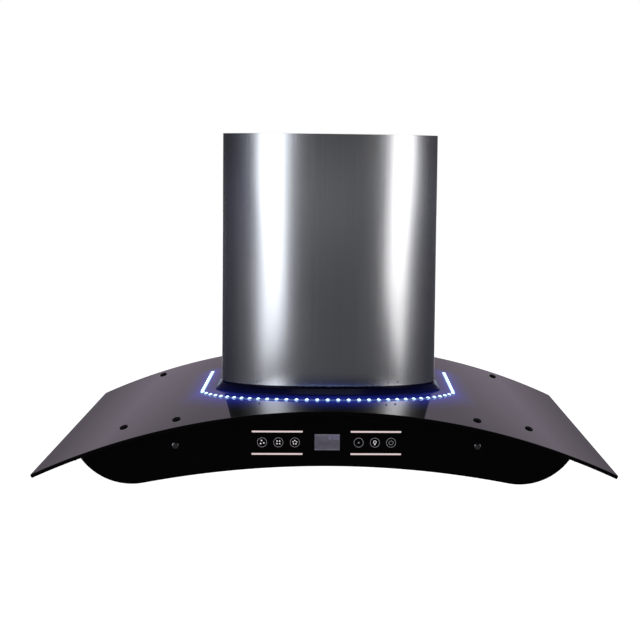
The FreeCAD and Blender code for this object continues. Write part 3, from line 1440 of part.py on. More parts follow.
def make_outlet():
    seat, wall_top = "plenum_top_z", "plenum_top_z + spigot_height"
    pin_hole = "(flap_pin_radius + inlay_gap)"
    ledge_top = "(flap_pivot_rise + spigot_flange_height - flap_thickness / 2 - seat_gap)"
    ledge_low = f"({ledge_top} - flap_ledge_height)"
    ledge_in = "(spigot_bore_radius - flap_ledge_width)"
    corners = [
        ("spigot_bore_radius", "0"), ("spigot_flange_radius", "0"),
        ("spigot_flange_radius", "spigot_flange_height"), ("spigot_radius", "spigot_flange_height"),
        ("spigot_radius", "spigot_height"), ("spigot_bore_radius", "spigot_height"),
        ("spigot_bore_radius", ledge_top), (ledge_in, ledge_top), (ledge_in, ledge_low),
        ("spigot_bore_radius", ledge_low),
    ]
    collar = turned("outlet_collar", corners)
    place(collar, ("0", "outlet_y", seat))
    drills, pins = [], []
    for side, sign in SIDES:
        pivot_x = mirrored("flap_pivot_x", sign)
        pin_reach = "((spigot_bore_radius + spigot_radius) / 2)"
        drills.append(cylinder(f"flap_pin_drill_{side}", pin_hole, "2 * (spigot_radius + overrun)",
                               (pivot_x, "outlet_y - spigot_radius - overrun", "pivot_z"), BACKWARDS))
        pins.append(cylinder(f"flap_pin_{side}", "flap_pin_radius", f"2 * {pin_reach}",
                             (pivot_x, f"outlet_y - {pin_reach}", "pivot_z"), BACKWARDS))
    screws = []
    flange_top = f"{seat} + spigot_flange_height"
    for index, (x, y) in enumerate(flange_screw_spots()):
        drills.append(cylinder(f"flange_drill_{index}", SMALL_HOLE, "spigot_flange_height + 2 * seat_gap",
                               (x, y, f"{seat} - seat_gap")))
        screws.append(small_screw(f"outlet_screw_{index}", (x, y, flange_top), UPWARDS))
    finish(group("outlet_screws_group", screws), "outlet_screws")
    finish(cut("outlet_collar_drilled", collar, group("outlet_drills", drills)), "outlet_collar")
    finish(group("damper_pins_group", pins), "damper_pins")
    barrel_half = "(spigot_bore_radius - flap_ledge_width - seat_gap)"
    for side, sign in SIDES:
        bearing = mirrored("flap_pivot_x + flap_barrel_radius / 2", sign)
        edge = "sqrt(flap_radius^2 - (flap_pivot_x + flap_barrel_radius / 2)^2)"
        turn = "left" if sign > 0 else "right"
        half_disc = [
            (bearing, f"outlet_y - {edge}"),
            (mirrored("flap_radius", sign), "outlet_y", "flap_radius", turn),
            (bearing, f"outlet_y + {edge}", "flap_radius", turn),
        ]
        plate = slab(
            f"flap_plate_{side}", TOP, [half_disc], (), "pivot_z - flap_thickness / 2", "flap_thickness")
        pivot_x = mirrored("flap_pivot_x", sign)
        barrel = cylinder(f"flap_barrel_{side}", "flap_barrel_radius", f"2 * {barrel_half}",
                          (pivot_x, f"outlet_y - {barrel_half}", "pivot_z"), BACKWARDS)
        bore = cylinder(
            f"flap_bore_{side}", "flap_pin_radius + running_gap", f"2 * {barrel_half} + 2 * overrun",
            (pivot_x, f"outlet_y - {barrel_half} - overrun", "pivot_z"), BACKWARDS)
        flap = cut(f"flap_{side}", fuse(f"flap_joined_{side}", [plate, barrel]), bore)
        finish(flap, f"damper_flap_{side}")
    gland = [
        ("gland_bore_radius", "-gland_thread_length"), ("gland_thread_radius", "-gland_thread_length"),
        ("gland_thread_radius", "0"), ("gland_flange_radius", "0"),
        ("gland_flange_radius", "gland_flange_height"), ("gland_bore_radius", "gland_flange_height"),
    ]
    ring = turned("cable_gland", gland)
    place(ring, ("gland_x", "-gland_y", seat))
    finish(ring, "cable_gland")


def check_and_write():
    """Stops at the first object that failed, then writes each sub-part to its own file."""
    document.recompute()
    for thing in document.Objects:
        if "Invalid" in thing.State or "Error" in thing.State:
            raise RuntimeError(f"{thing.Name} failed: {thing.State}")
    for piece in pieces:
        if piece.Shape.isNull() or not piece.Shape.isValid() or not piece.Shape.Solids:
            raise RuntimeError(f"{piece.Label} has no sound shape")
    os.makedirs("parts", exist_ok=True)
    for piece in pieces:
        piece.Shape.exportStep(f"parts/{piece.Label}.step")
        print(piece.Label, len(piece.Shape.Solids), round(piece.Shape.Volume))


fill_sheet()
make_glass()
make_caps()
make_chimney()
make_chimney_brackets()
make_chimney_fasteners()
make_collar()
make_light_line()
make_body_top()
make_panels()
make_side_walls()
make_deck()
make_fascia()
make_electronics()
make_lamps()
make_filters()
make_wall_bracket()
make_plenum()
make_scroll()
make_impeller()
make_motor()
make_capacitor()
make_outlet()
check_and_write()
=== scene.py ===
import math
from functools import cache

import bmesh
import bpy
from bpy.props import FloatProperty, IntProperty, PointerProperty, StringProperty
from mathutils import Matrix, Quaternion, Vector


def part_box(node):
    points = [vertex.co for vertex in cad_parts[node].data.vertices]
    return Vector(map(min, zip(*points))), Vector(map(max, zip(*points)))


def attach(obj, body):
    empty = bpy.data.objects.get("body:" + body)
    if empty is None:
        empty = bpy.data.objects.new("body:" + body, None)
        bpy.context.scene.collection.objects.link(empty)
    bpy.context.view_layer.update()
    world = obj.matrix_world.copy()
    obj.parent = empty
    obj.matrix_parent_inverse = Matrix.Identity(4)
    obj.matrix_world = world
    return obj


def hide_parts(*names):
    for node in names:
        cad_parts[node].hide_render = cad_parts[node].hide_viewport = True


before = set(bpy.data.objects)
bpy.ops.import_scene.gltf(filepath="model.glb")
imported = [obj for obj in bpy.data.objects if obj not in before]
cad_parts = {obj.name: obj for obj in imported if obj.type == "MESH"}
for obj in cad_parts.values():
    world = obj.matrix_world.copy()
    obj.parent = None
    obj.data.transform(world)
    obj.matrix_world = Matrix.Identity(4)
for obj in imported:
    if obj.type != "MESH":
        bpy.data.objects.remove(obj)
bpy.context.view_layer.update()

bl_info = {
    "name": "Wall Mount Range Hood",
    "version": (1, 0, 0),
    "blender": (4, 5, 0),
    "location": "3D View > Sidebar > Range Hood",
    "description": "Dresses a wall mount range hood with a curved glass canopy, part by part",
    "category": "Add Mesh",
}

# Metres. X points right, Y points back into the wall, Z points up, and the wall is the plane y = 0.

MM = 0.001
FULL_TURN = 2 * math.pi
WHITE = (1, 1, 1, 1)
SIDES = (("left", -1), ("right", 1))
GLASS_LOW, GLASS_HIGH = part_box("glass_canopy")
COVER_LOW, COVER_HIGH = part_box("chimney_cover")
FASCIA_LOW, FASCIA_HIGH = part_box("fascia")
WINDOW_LOW, WINDOW_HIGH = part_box("display_window")


# Values that a user would change

def length(name, description, millimetres):
    return FloatProperty(name=name, description=description, default=millimetres * MM, unit="LENGTH", precision=5)


def number(name, description, count):
    return IntProperty(name=name, description=description, default=count, min=2)


def shade(name, description, code):
    return StringProperty(name=name, description=description, default=code)


class HoodSizes(bpy.types.PropertyGroup):
    """Sizes of the hood's shapes, beside those that the frame's own boxes give."""
    arch_radius: length("Arch radius", "Radius of the canopy's upper face", 1072)
    glass_edge: length("Glass edge", "Radius of the pencil-ground edge round the canopy", 1.5)
    notch_half: length("Notch half width", "Half the width of the cut-out at the back of the glass", 152)
    notch_front: length("Notch front", "How far the cut-out reaches from the wall", 346)
    chimney_front_radius: length("Chimney front radius", "Radius of the cover's curved front", 212)
    chimney_sheet: length("Chimney sheet", "Thickness of the cover's stainless sheet", 1)
    chimney_lift: length("Chimney lift", "Gap between the glass and the cover's rim", 13)
    line_half: length("Light line half width", "Distance of each arm of the light line from the middle", 217.2)
    line_corner: length("Light line corner", "How far the line's corners stand from the wall", 296)
    tape_width: length("Tape width", "Width of the silicone light tape", 6.2)
    tape_thickness: length("Tape thickness", "Thickness of the silicone light tape", 0.8)
    bead_pitch: length("Light pitch", "Distance between light points", 16.67)
    bead_radius: length("Light radius", "Radius of one light point's lens", 3.2)
    bead_height: length("Light height", "Height of one light point's lens", 2.5)
    under_radius: length("Underside radius", "Radius of the fascia's arched lower edge", 1500)
    lobe_x: length("Lobe place", "Distance of each lobe's centre from the middle", 299)
    lobe_radius: length("Lobe radius", "Radius of the two round lobes", 96)
    bead_count: number("Light count", "Light points in the line", 51)
    blade_count: number("Blade count", "Blades of the impeller", 32)
    baffle_count: number("Baffle count", "Lower channels of each filter", 11)


class HoodColours(bpy.types.PropertyGroup):
    """Colours of the finishes, as sRGB hex values."""
    black_glass: shade("Black glass", "Body colour of the tempered glass", "#050406")
    stainless: shade("Stainless", "Reflected colour of brushed stainless steel", "#C8C9CC")
    light_core: shade("Light core", "Colour of a lit point", "#D2F3FF")
    light_spill: shade("Light spill", "Colour of the light that spills from the line", "#3A4EFF")
    light_bar: shade("Light bar", "Colour of the lit bars in the fascia", "#F6E6E4")
    print_ink: shade("Print", "Colour of the faint light behind the touch marks' print", "#8B888C")


def sizes():
    return bpy.context.scene.hood_sizes


def colours():
    return bpy.context.scene.hood_colours


def linear(code):
    """Linear colour of an sRGB hex value."""
    parts = [int(code[start:start + 2], 16) / 255 for start in (1, 3, 5)]
    return tuple(p / 12.92 if p <= 0.04045 else ((p + 0.055) / 1.055) ** 2.4 for p in parts) + (1,)


def add(tree, kind, inputs=(), output=None, **settings):
    """Adds a node with its settings, and a value or a link for each input, by name or in order.

    Gives the node, or one of its outputs if that is asked for.
    """
    node = tree.nodes.new(kind)
    for name, setting in settings.items():
        setattr(node, name, setting)
    wire(tree, node, inputs if isinstance(inputs, dict) else dict(enumerate(inputs)))
    return node if output is None else node.outputs[output]


def wire(tree, node, inputs):
    """Gives each named input of a node its value, its link or, from a hex value, its colour."""
    for name, source in inputs.items():
        if isinstance(source, bpy.types.NodeSocket):
            tree.links.new(source, node.inputs[name])
        elif isinstance(source, str) and source.startswith("#"):
            node.inputs[name].default_value = linear(source)
        else:
            node.inputs[name].default_value = source


# Materials

def new_finish(name, **sockets):
    """A Principled material with values or links on its sockets, whose names are given in small letters."""
    material = bpy.data.materials.new(name)
    material.use_nodes = True
    give(material, **sockets)
    return material


def give(material, **sockets):
    tree = material.node_tree
    named = {name.replace("_", " ").title().replace("Ior", "IOR"): source for name, source in sockets.items()}
    wire(tree, tree.nodes["Principled BSDF"], named)


def grain(tree, scale, detail=2, cells=""):
    """A pattern on the piece's own coordinates, in parts per metre: noise, or an output of a field of cells."""
    place = add(tree, "ShaderNodeTexCoord", output="Object")
    scale = scale if isinstance(scale, tuple) else (scale,) * 3
    place = add(tree, "ShaderNodeMapping", {"Vector": place, "Scale": scale}, "Vector")
    if not cells:
        return add(tree, "ShaderNodeTexNoise", {"Vector": place, "Scale": 1, "Detail": detail}, "Fac")
    field = add(tree, "ShaderNodeTexVoronoi", {"Vector": place, "Scale": 1}, cells)
    return add(tree, "ShaderNodeSeparateXYZ", (field,), "X") if cells == "Color" else field


def patterned(name, scale, dark, light, detail=2, cells="", soft=(), relief=0.0, **sockets):
    """A finish whose colour goes from dark to light over a pattern.

    Soft gives the pattern's range and the roughness over it, and relief its depth in metres.
    """
    material = new_finish(name, **sockets)
    tree = material.node_tree
    source = grain(tree, scale, detail, cells)
    give(material, base_color=add(tree, "ShaderNodeMix", {0: source, 6: dark, 7: light}, 2, data_type="RGBA"))
    if soft:
        give(material, roughness=add(tree, "ShaderNodeMapRange", (source, *soft), 0))
    if relief:
        raised = {"Height": source, "Distance": relief, "Strength": 1}
        give(material, normal=add(tree, "ShaderNodeBump", raised, "Normal"))
    return material


def glow(material, source, dark, light, strength):
    """Lets a finish give off light, its colour going from dark to light over the source."""
    colour = add(material.node_tree, "ShaderNodeMix", {0: source, 6: dark, 7: light}, 2, data_type="RGBA")
    give(material, emission_color=colour, emission_strength=strength)
    return material


ARM_CLOSENESS = 1.5  # The painted glow of the arms is narrower than that of the front


def light_spill(tree, reach):
    """Mask of the painted glow: how near a place in plan is to the light line, from 1 at the line down to 0, by
    its reach in metres.
    """
    half, radius, centre, corner, end = tape_plan()
    place = add(tree, "ShaderNodeTexCoord", output="Object")
    x, y, _ = add(tree, "ShaderNodeSeparateXYZ", (place,)).outputs
    known = {"x": x, "y": y}
    for name, operation, *terms in (
            ("across", "ABSOLUTE", "x"),
            ("beyond", "SUBTRACT", "across", half),
            ("ahead", "SUBTRACT", corner, "y"),
            ("behind", "SUBTRACT", "y", end),
            ("off_end", "MAXIMUM", "ahead", "behind"),
            ("off_end", "MAXIMUM", "off_end", 0),
            ("square", "MULTIPLY", "beyond", "beyond"),
            ("square", "MULTIPLY_ADD", "off_end", "off_end", "square"),
            ("arm", "SQRT", "square"),
            ("arm", "MULTIPLY", "arm", ARM_CLOSENESS),
            ("along", "SUBTRACT", "y", centre),
            ("square", "MULTIPLY", "across", "across"),
            ("square", "MULTIPLY_ADD", "along", "along", "square"),
            ("front", "SQRT", "square"),
            ("front", "SUBTRACT", "front", radius),
            ("front", "ABSOLUTE", "front"),
            ("beyond", "MULTIPLY", "beyond", ARM_CLOSENESS),
            ("past_corner", "SUBTRACT", "y", corner),
            ("past_corner", "MAXIMUM", "beyond", "past_corner"),
            ("front", "MAXIMUM", "front", "past_corner"),
            ("distance", "MINIMUM", "arm", "front"),
            ("fall", "MULTIPLY", "distance", -1 / reach),
            ("nearness", "EXPONENT", "fall")):
        terms = [known.get(term, term) for term in terms]
        known[name] = add(tree, "ShaderNodeMath", terms, 0, operation=operation)
    unseen = 0.04  # The share under which the spill is too faint to show
    return add(tree, "ShaderNodeMapRange", (known["nearness"], unseen, 1, 0, 1), 0)


def black_glass():
    """Tempered float glass over black enamel: a deep black under a clear gloss, with a painted blue glow where
    the line's light would spill.
    """
    material = patterned(
        "tempered_black_glass", 30, "#020202", colours().black_glass, 4, roughness=0.5, ior=1.5,
        specular_ior_level=0, coat_weight=1, coat_ior=1.5, coat_roughness=0.012)
    return glow(material, light_spill(material.node_tree, 20 * MM), "#000000", colours().light_spill, 0.45)


def collar_abs():
    """Satin black ABS trim, with a painted blue glow where the light line shines on it."""
    material = patterned("collar_abs", 1300, "#030305", "#07070A", relief=0.012 * MM, roughness=0.22,
                         specular_ior_level=0.08)
    return glow(material, light_spill(material.node_tree, 13 * MM), "#000000", colours().light_spill, 0.27)


def brushed_stainless():
    """Stainless sheet brushed along its height: soft upright streaks where a lamp is mirrored."""
    material = new_finish("brushed_stainless_steel", metallic=1, anisotropic=0.6)
    tree = material.node_tree
    # Real grain is 0.1 mm wide; here it is 2.5 mm, so that it shows, and has no relief of its own
    lines = add(tree, "ShaderNodeMapRange", (grain(tree, (400, 400, 4)), 0.3, 0.7, 0, 1), 0)
    cloud = add(tree, "ShaderNodeMapRange", (grain(tree, (7, 7, 4), 4), 0.3, 0.7, -0.028, 0.008), 0)
    ends = {0: lines, 6: "#C1C2C7", 7: colours().stainless}
    soft = add(tree, "ShaderNodeMath", (lines, 0.01, 0.25), 0, operation="MULTIPLY_ADD")
    give(material, base_color=add(tree, "ShaderNodeMix", ends, 2, data_type="RGBA"),
         roughness=add(tree, "ShaderNodeMath", (soft, cloud), 0, operation="ADD"),
         tangent=add(tree, "ShaderNodeTangent", output="Tangent", direction_type="RADIAL", axis="Z"))
    return material


def turned_steel(name, colour, roughness):
    """Stainless fasteners and rings as turned on a lathe: one colour, with small knocks in the gloss."""
    material = new_finish(name, base_color=colour, metallic=1)
    tree = material.node_tree
    soft = (grain(tree, 900), 0.3, 0.7, roughness - 0.05, roughness + 0.09)
    give(material, roughness=add(tree, "ShaderNodeMapRange", soft, 0))
    return material


def powder_coat(name, dark, light):
    """Baked powder paint on steel: satin, with a fine orange peel of about 1.5 mm."""
    return patterned(name, 700, dark, light, relief=0.02 * MM, roughness=0.45, specular_ior_level=0.15)


def moulded_plastic(name, dark, light, roughness=0.4, gloss=0.5):
    """Moulded ABS or rubber: even colour with the faint grain of a spark-worn tool, about 0.8 mm."""
    soft = (0, 1, roughness - 0.06, roughness + 0.08)
    return patterned(name, 1300, dark, light, soft=soft, relief=0.012 * MM, specular_ior_level=gloss)


def clear_silicone():
    """Milky silicone sleeve round the tape: blue along the front, pale by each light point and in the arms."""
    material = new_finish("lit_silicone_sleeve", base_color="#313E68", roughness=0.3, ior=1.41)
    tree = material.node_tree
    run, arm = [add(tree, "ShaderNodeAttribute", output="Fac", attribute_name=name) for name in ("run", "arm")]
    turn = add(tree, "ShaderNodeMath", (run, FULL_TURN), 0, operation="MULTIPLY")
    wave = add(tree, "ShaderNodeMath", (turn,), 0, operation="COSINE")
    wave = add(tree, "ShaderNodeMapRange", (wave, 0.1, 1, 0, 1), 0)
    near = add(tree, "ShaderNodeMath", (wave, arm), 0, operation="MAXIMUM")
    strength = add(tree, "ShaderNodeMapRange", (near, 0, 1, 0.7, 1.15), 0)
    return glow(material, near, "#4D618C", "#C0EAFF", strength)


def lit_lens():
    """Moulded epoxy lens over a lit diode: white in its crown, and bluer down its flanks."""
    material = new_finish("lit_diode_lens", base_color="#6C8FE0", roughness=0.2, ior=1.5)
    tree = material.node_tree
    normal = add(tree, "ShaderNodeNewGeometry", output="Normal")
    upward = add(tree, "ShaderNodeSeparateXYZ", (normal,), "Z")
    crown = add(tree, "ShaderNodeMapRange", (upward, 0, 0.5, 0, 1), 0)
    strength = add(tree, "ShaderNodeMapRange", (crown, 0, 1, 1.1, 2), 0)
    return glow(material, crown, "#5E93E0", colours().light_core, strength)


def lit_bar():
    """Milky acrylic bar lit from behind: an even pale pink, a little whiter in its middle."""
    material = new_finish("lit_acrylic_bar", base_color="#3A3031", roughness=0.35, ior=1.49)
    return glow(material, grain(material.node_tree, (60, 60, 300)), "#E4CBCA", colours().light_bar, 0.85)


def display_glass():
    """Smoked acrylic over a display at rest: violet grey, with a painted glow in faint clouds and in bands along
    its long edges.
    """
    clouds = ((45, 45, 90), 3)
    material = patterned("smoked_display_cover", clouds[0], "#26242C", "#34323B", clouds[1], roughness=0.24,
                         ior=1.49)
    tree = material.node_tree
    place = add(tree, "ShaderNodeTexCoord", output="Object")
    height = add(tree, "ShaderNodeSeparateXYZ", (place,), "Z")
    middle, half = (WINDOW_LOW.z + WINDOW_HIGH.z) / 2, (WINDOW_HIGH.z - WINDOW_LOW.z) / 2
    away = add(tree, "ShaderNodeMath", (height, middle), 0, operation="SUBTRACT")
    away = add(tree, "ShaderNodeMath", (away,), 0, operation="ABSOLUTE")
    # Painted glow: brighter bands along the cover's long edges, and faint clouds over its face
    painted_edge_glow = add(tree, "ShaderNodeMapRange", (away, 0.78 * half, 0.95 * half, 0, 0.55), 0)
    painted_cloud_glow = add(tree, "ShaderNodeMapRange", (grain(tree, *clouds), 0.35, 0.7, 0, 0.45), 0)
    total = add(tree, "ShaderNodeMath", (painted_cloud_glow, painted_edge_glow), 0, operation="ADD")
    return glow(material, total, "#45424C", "#6E6C76", 0.8)


def clock_light():
    """The display's clock digits, faintly lit in violet behind the smoked cover."""
    material = new_finish("faint_clock_digits", base_color="#2A2830", roughness=0.4, ior=1.49)
    return glow(material, grain(material.node_tree, 400, 1), "#716F92", "#8684AC", 0.9)


FLOOR_WHITE = "#E9E9EA"
FLOOR_GLOW = 0.62


def rearward(tree, aim):
    """How far a direction in plan turns to the wall, from -1 straight away from it to 1 straight at it."""
    level = add(tree, "ShaderNodeVectorMath", (aim, (1, 1, 0)), 0, operation="MULTIPLY")
    heading = add(tree, "ShaderNodeVectorMath", (level,), 0, operation="NORMALIZE")
    return add(tree, "ShaderNodeSeparateXYZ", (heading,), "Y")


def background_rays(tree):
    """One for a ray that sees the background itself, from the camera, in a mirror or through glass."""
    path = add(tree, "ShaderNodeLightPath").outputs
    seen = path["Is Camera Ray"]
    for way in ("Is Glossy Ray", "Is Transmission Ray"):
        seen = add(tree, "ShaderNodeMath", (seen, path[way]), 0, operation="MAXIMUM")
    return seen


def floor_paint():
    """Matt studio floor, painted white behind the object; what mirrors the front of it sees a dark carpet."""
    material = new_finish("white_studio_floor", roughness=0.9, specular_ior_level=0, emission_color=WHITE)
    tree = material.node_tree
    place = add(tree, "ShaderNodeTexCoord", output="Object")
    x, y, _ = add(tree, "ShaderNodeSeparateXYZ", (place,)).outputs
    across = add(tree, "ShaderNodeMath", (x,), 0, operation="ABSOLUTE")
    beside = add(tree, "ShaderNodeMath", (across, y), 0, operation="SUBTRACT")
    ahead = add(tree, "ShaderNodeMapRange", (beside, -0.6, 0.2, 0, 1), 0)
    turned = add(tree, "ShaderNodeMapRange", (rearward(tree, place), -0.3, 0.4, 0, 1), 0)
    pile = add(tree, "ShaderNodeMix", {0: turned, 6: "#6A6A6D", 7: "#2B2B3C"}, 2, data_type="RGBA")
    mirrored = add(tree, "ShaderNodeLightPath", output="Is Glossy Ray")
    carpet = add(tree, "ShaderNodeMath", (ahead, mirrored), 0, operation="MULTIPLY")
    lit = add(tree, "ShaderNodeMath", (background_rays(tree), carpet), 0, operation="SUBTRACT")
    give(material,
         base_color=add(tree, "ShaderNodeMix", {0: carpet, 6: FLOOR_WHITE, 7: pile}, 2, data_type="RGBA"),
         emission_strength=add(tree, "ShaderNodeMath", (lit, FLOOR_GLOW), 0, operation="MULTIPLY"))
    return material


FINISHES = {
    "black_glass": black_glass,
    # The canopy's pencil-ground edge, left matt by the wheel: black, with a dull fine grit
    "glass_edge": lambda: patterned(
        "ground_black_glass_edge", 1500, "#010101", "#050505", soft=(0, 1, 0.42, 0.58), ior=1.5,
        specular_ior_level=0.08),
    # The same tempered glass over a second coat of enamel: as black, and with less gloss to its flat face
    "fascia_glass": lambda: patterned(
        "enamelled_black_glass", 30, "#010101", "#040304", 4, roughness=0.5, ior=1.5, specular_ior_level=0,
        coat_weight=0.3, coat_ior=1.5, coat_roughness=0.02),
    "brushed_stainless": brushed_stainless,
    "stainless_fastener": lambda: turned_steel("turned_stainless_steel", "#B9BABD", 0.24),
    # Screw steel blackened in hot oil: half as bright, with the same knocks in its gloss
    "blackened_screw": lambda: turned_steel("blackened_steel", "#77777A", 0.26),
    # Steel ground after turning: brighter, and with a sharper gloss
    "motor_shaft_steel": lambda: turned_steel("ground_steel", "#C3C4C6", 0.16),
    # Zinc-dipped sheet: a pale grey spangle of crystals about 8 mm wide
    "zinc_steel": lambda: patterned(
        "galvanised_steel", 125, "#94999C", "#BDC1C3", cells="Color", soft=(0, 1, 0.34, 0.52), metallic=1),
    # Anodised aluminium sheet, etched matt and rolled lengthwise
    "aluminium_filter": lambda: patterned(
        "satin_anodised_aluminium", (1500, 25, 1500), "#BBBCBF", "#D2D3D5", 3, soft=(0, 1, 0.28, 0.42),
        metallic=1),
    "black_steel": lambda: powder_coat("black_powder_coat", "#161618", "#1F1F22"),
    # Stoved enamel on the motor: the same peel in a blue grey
    "motor_paint": lambda: powder_coat("motor_enamel", "#232427", "#2E2F33"),
    "collar": collar_abs,
    # Spark-worn ABS caps: the deepest black, with almost no gloss
    "cap": lambda: moulded_plastic("soft_black_abs", "#020203", "#060607", 0.5, 0.15),
    # Housings of glossier black ABS
    "black_plastic": lambda: moulded_plastic("black_abs", "#0A0A0C", "#121214", 0.36),
    # Housings and the capacitor's can of mid grey ABS
    "grey_plastic": lambda: moulded_plastic("grey_abs", "#5C5D60", "#6B6C6F"),
    # Moulded rubber sleeves: dull, and greyer than the plastic
    "black_rubber": lambda: moulded_plastic("black_rubber", "#0D0D0E", "#171718", 0.7),
    "clear_silicone": clear_silicone,
    "led_lens": lit_lens,
    "display_glass": display_glass,
    "clock_light": clock_light,
    "lit_bar": lit_bar,
    # Pale ceramic ink, screen printed on the glass
    "printed_ink": lambda: patterned(
        "screen_printed_ink", 2500, "#7E7B80", "#A3A0A5", 1, roughness=0.6,
        emission_color=colours().print_ink, emission_strength=0.25),
    # The inner part of each touch mark, lit a little from behind
    "bright_ink": lambda: patterned(
        "lit_touch_mark", 2500, "#CFCBCE", "#F0ECEE", 1, roughness=0.5,
        emission_color="#E6DADC", emission_strength=0.4),
    # Pressed lamp glass, frosted inside, with a lattice of small lenses 3 mm apart
    "lamp_glass": lambda: patterned(
        "frosted_lamp_glass", 330, "#F2F4F6", "#D5DADF", cells="Distance", relief=0.4 * MM, roughness=0.35,
        ior=1.5),
    # Green solder mask over copper tracks 4 mm apart
    "circuit_board": lambda: patterned(
        "green_solder_mask", 260, "#0E3720", "#1E5A36", cells="Distance", roughness=0.35),
}


@cache
def finish_of(kind):
    """The material of a slot of the record, or of a finish named above, made once."""
    return FINISHES[kind]()


# Shapes

def new_piece(name, mesh, slot, node=None, body="hood", finish=None):
    """Puts a finished mesh into the scene, on its body, in the place of the frame's own node if it has one."""
    piece = bpy.data.objects.new(name, mesh)
    bpy.context.scene.collection.objects.link(piece)
    mesh.materials.clear()
    mesh.materials.append(finish_of(finish or slot))
    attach(piece, body)
    if node:
        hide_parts(node)


def holder(mesh):
    """A passing object that carries modifiers while a mesh is made."""
    thing = bpy.data.objects.new("holder", mesh)
    bpy.context.scene.collection.objects.link(thing)
    return thing


def modify(thing, name, kind, **settings):
    modifier = thing.modifiers.new(name, kind)
    for setting, choice in settings.items():
        setattr(modifier, setting, choice)


def plain(thing):
    """The plain mesh that a passing object's modifiers give; the object goes."""
    bpy.context.view_layer.update()
    seen = thing.evaluated_get(bpy.context.evaluated_depsgraph_get())
    mesh = bpy.data.meshes.new_from_object(seen)
    bpy.data.objects.remove(thing)
    return mesh


def as_mesh(form):
    mesh = bpy.data.meshes.new("mesh")
    form.to_mesh(mesh)
    form.free()
    return mesh


def joined(meshes):
    """Several meshes as one form to work on."""
    form = bmesh.new()
    for mesh in meshes:
        form.from_mesh(mesh)
    return form


def smoothed(form, sharp):
    """A form's mesh, smooth but for edges sharper than this angle."""
    mesh = as_mesh(form)
    mesh.shade_smooth()
    mesh.set_sharp_from_angle(angle=math.radians(sharp))
    return mesh


def grid(rows, closed=False):
    """A surface through rows of points. Closed joins each row's end to its start."""
    form = bmesh.new()
    table = [[form.verts.new(spot) for spot in row] for row in rows]
    width = len(rows[0])
    for low, high in zip(table, table[1:]):
        for index in range(width if closed else width - 1):
            after = (index + 1) % width
            form.faces.new((low[index], low[after], high[after], high[index]))
    return form


def capped_grid(rows):
    """A closed body through rings of points, with a face over its first and last ring."""
    form = grid(rows, closed=True)
    form.verts.ensure_lookup_table()
    width = len(rows[0])
    form.faces.new(form.verts[:width])
    form.faces.new(form.verts[-width:])
    bmesh.ops.recalc_face_normals(form, faces=form.faces)
    return form


def softened(form, edge, angle=35, steps=2, wall=0.0, offset=-1.0, clamp=True):
    """A form's mesh with a wall's thickness, if one is given, and with its sharp edges rounded."""
    mesh = as_mesh(form)
    mesh.shade_smooth()
    thing = holder(mesh)
    if wall:
        modify(thing, "Wall", "SOLIDIFY", thickness=wall, offset=offset, use_even_offset=True)
    modify(thing, "Rounded edges", "BEVEL", width=edge, segments=steps, limit_method="ANGLE",
           angle_limit=math.radians(angle), use_clamp_overlap=clamp)
    modify(thing, "Even shading", "WEIGHTED_NORMAL", keep_sharp=True, weight=100)
    return plain(thing)


def node_form(node):
    """A copy of a node's own mesh, with its loose triangles joined."""
    form = bmesh.new()
    form.from_mesh(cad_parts[node].data)
    bmesh.ops.remove_doubles(form, verts=form.verts, dist=0.002 * MM)
    return form


def dress(node, slot, body="hood", edge=0.3):
    """A node with its own form kept, its flat faces made whole, its edges rounded and its curves smooth."""
    form = node_form(node)
    bmesh.ops.dissolve_limit(form, angle_limit=math.radians(0.2), verts=form.verts, edges=form.edges)
    new_piece(node + "_dressed", softened(form, edge * MM), slot, node, body)


def lathe(profile, centre, axis="Z", steps=96, unit=1.0):
    """A body turned from a closed profile of (radius, height) points about an axis through its centre."""
    pole = 1e-7  # The least radius, as points on the axis itself would fall together
    rows = []
    for step in range(steps):
        turn = FULL_TURN * step / steps
        ring = []
        for radius, height in profile:
            radius, height = max(radius * unit, pole), height * unit
            across, up = radius * math.cos(turn), radius * math.sin(turn)
            ring.append(centre + Vector((across, up, height) if axis == "Z" else (height, across, up)))
        rows.append(ring)
    rows.append(rows[0])
    form = grid(rows, closed=True)
    bmesh.ops.remove_doubles(form, verts=form.verts, dist=0.001 * MM)
    bmesh.ops.recalc_face_normals(form, faces=form.faces)
    return form


def block(low, high):
    """A box between its lowest and highest corners, as a form to cut with."""
    form = bmesh.new()
    bmesh.ops.create_cube(form, size=1)
    middle, size = (Vector(low) + Vector(high)) / 2, Vector(high) - Vector(low)
    placed = Matrix.Translation(middle) @ Matrix.Diagonal(size).to_4x4()
    bmesh.ops.transform(form, matrix=placed, verts=form.verts)
    return form


def plate(outlines, front, back, edge, steps=2):
    """A flat plate in X and Z, with holes, between its front and back face, its edges rounded."""
    thickness = back - front
    curve = bpy.data.curves.new("plate", "CURVE")
    curve.dimensions = "2D"
    curve.fill_mode = "BOTH"
    curve.extrude = thickness / 2 - edge
    curve.bevel_depth = edge
    curve.bevel_resolution = steps
    curve.offset = -edge
    for outline in outlines:
        spline = curve.splines.new("POLY")
        spline.points.add(len(outline) - 1)
        for point, (x, z) in zip(spline.points, outline):
            point.co = (x, z, 0, 1)
        spline.use_cyclic_u = True
    form = joined([plain(holder(curve))])
    bmesh.ops.remove_doubles(form, verts=form.verts, dist=0.001 * MM)
    bmesh.ops.recalc_face_normals(form, faces=form.faces)
    upright = Matrix.Translation((0, thickness / 2, 0)) @ Matrix.Rotation(math.radians(90), 4, "X")
    bmesh.ops.transform(form, matrix=upright, verts=form.verts)
    thing = holder(smoothed(form, 40))
    modify(thing, "Flat faces", "WEIGHTED_NORMAL", keep_sharp=True, weight=100)
    mesh = plain(thing)
    mesh.transform(Matrix.Translation((0, front, 0)))
    return mesh


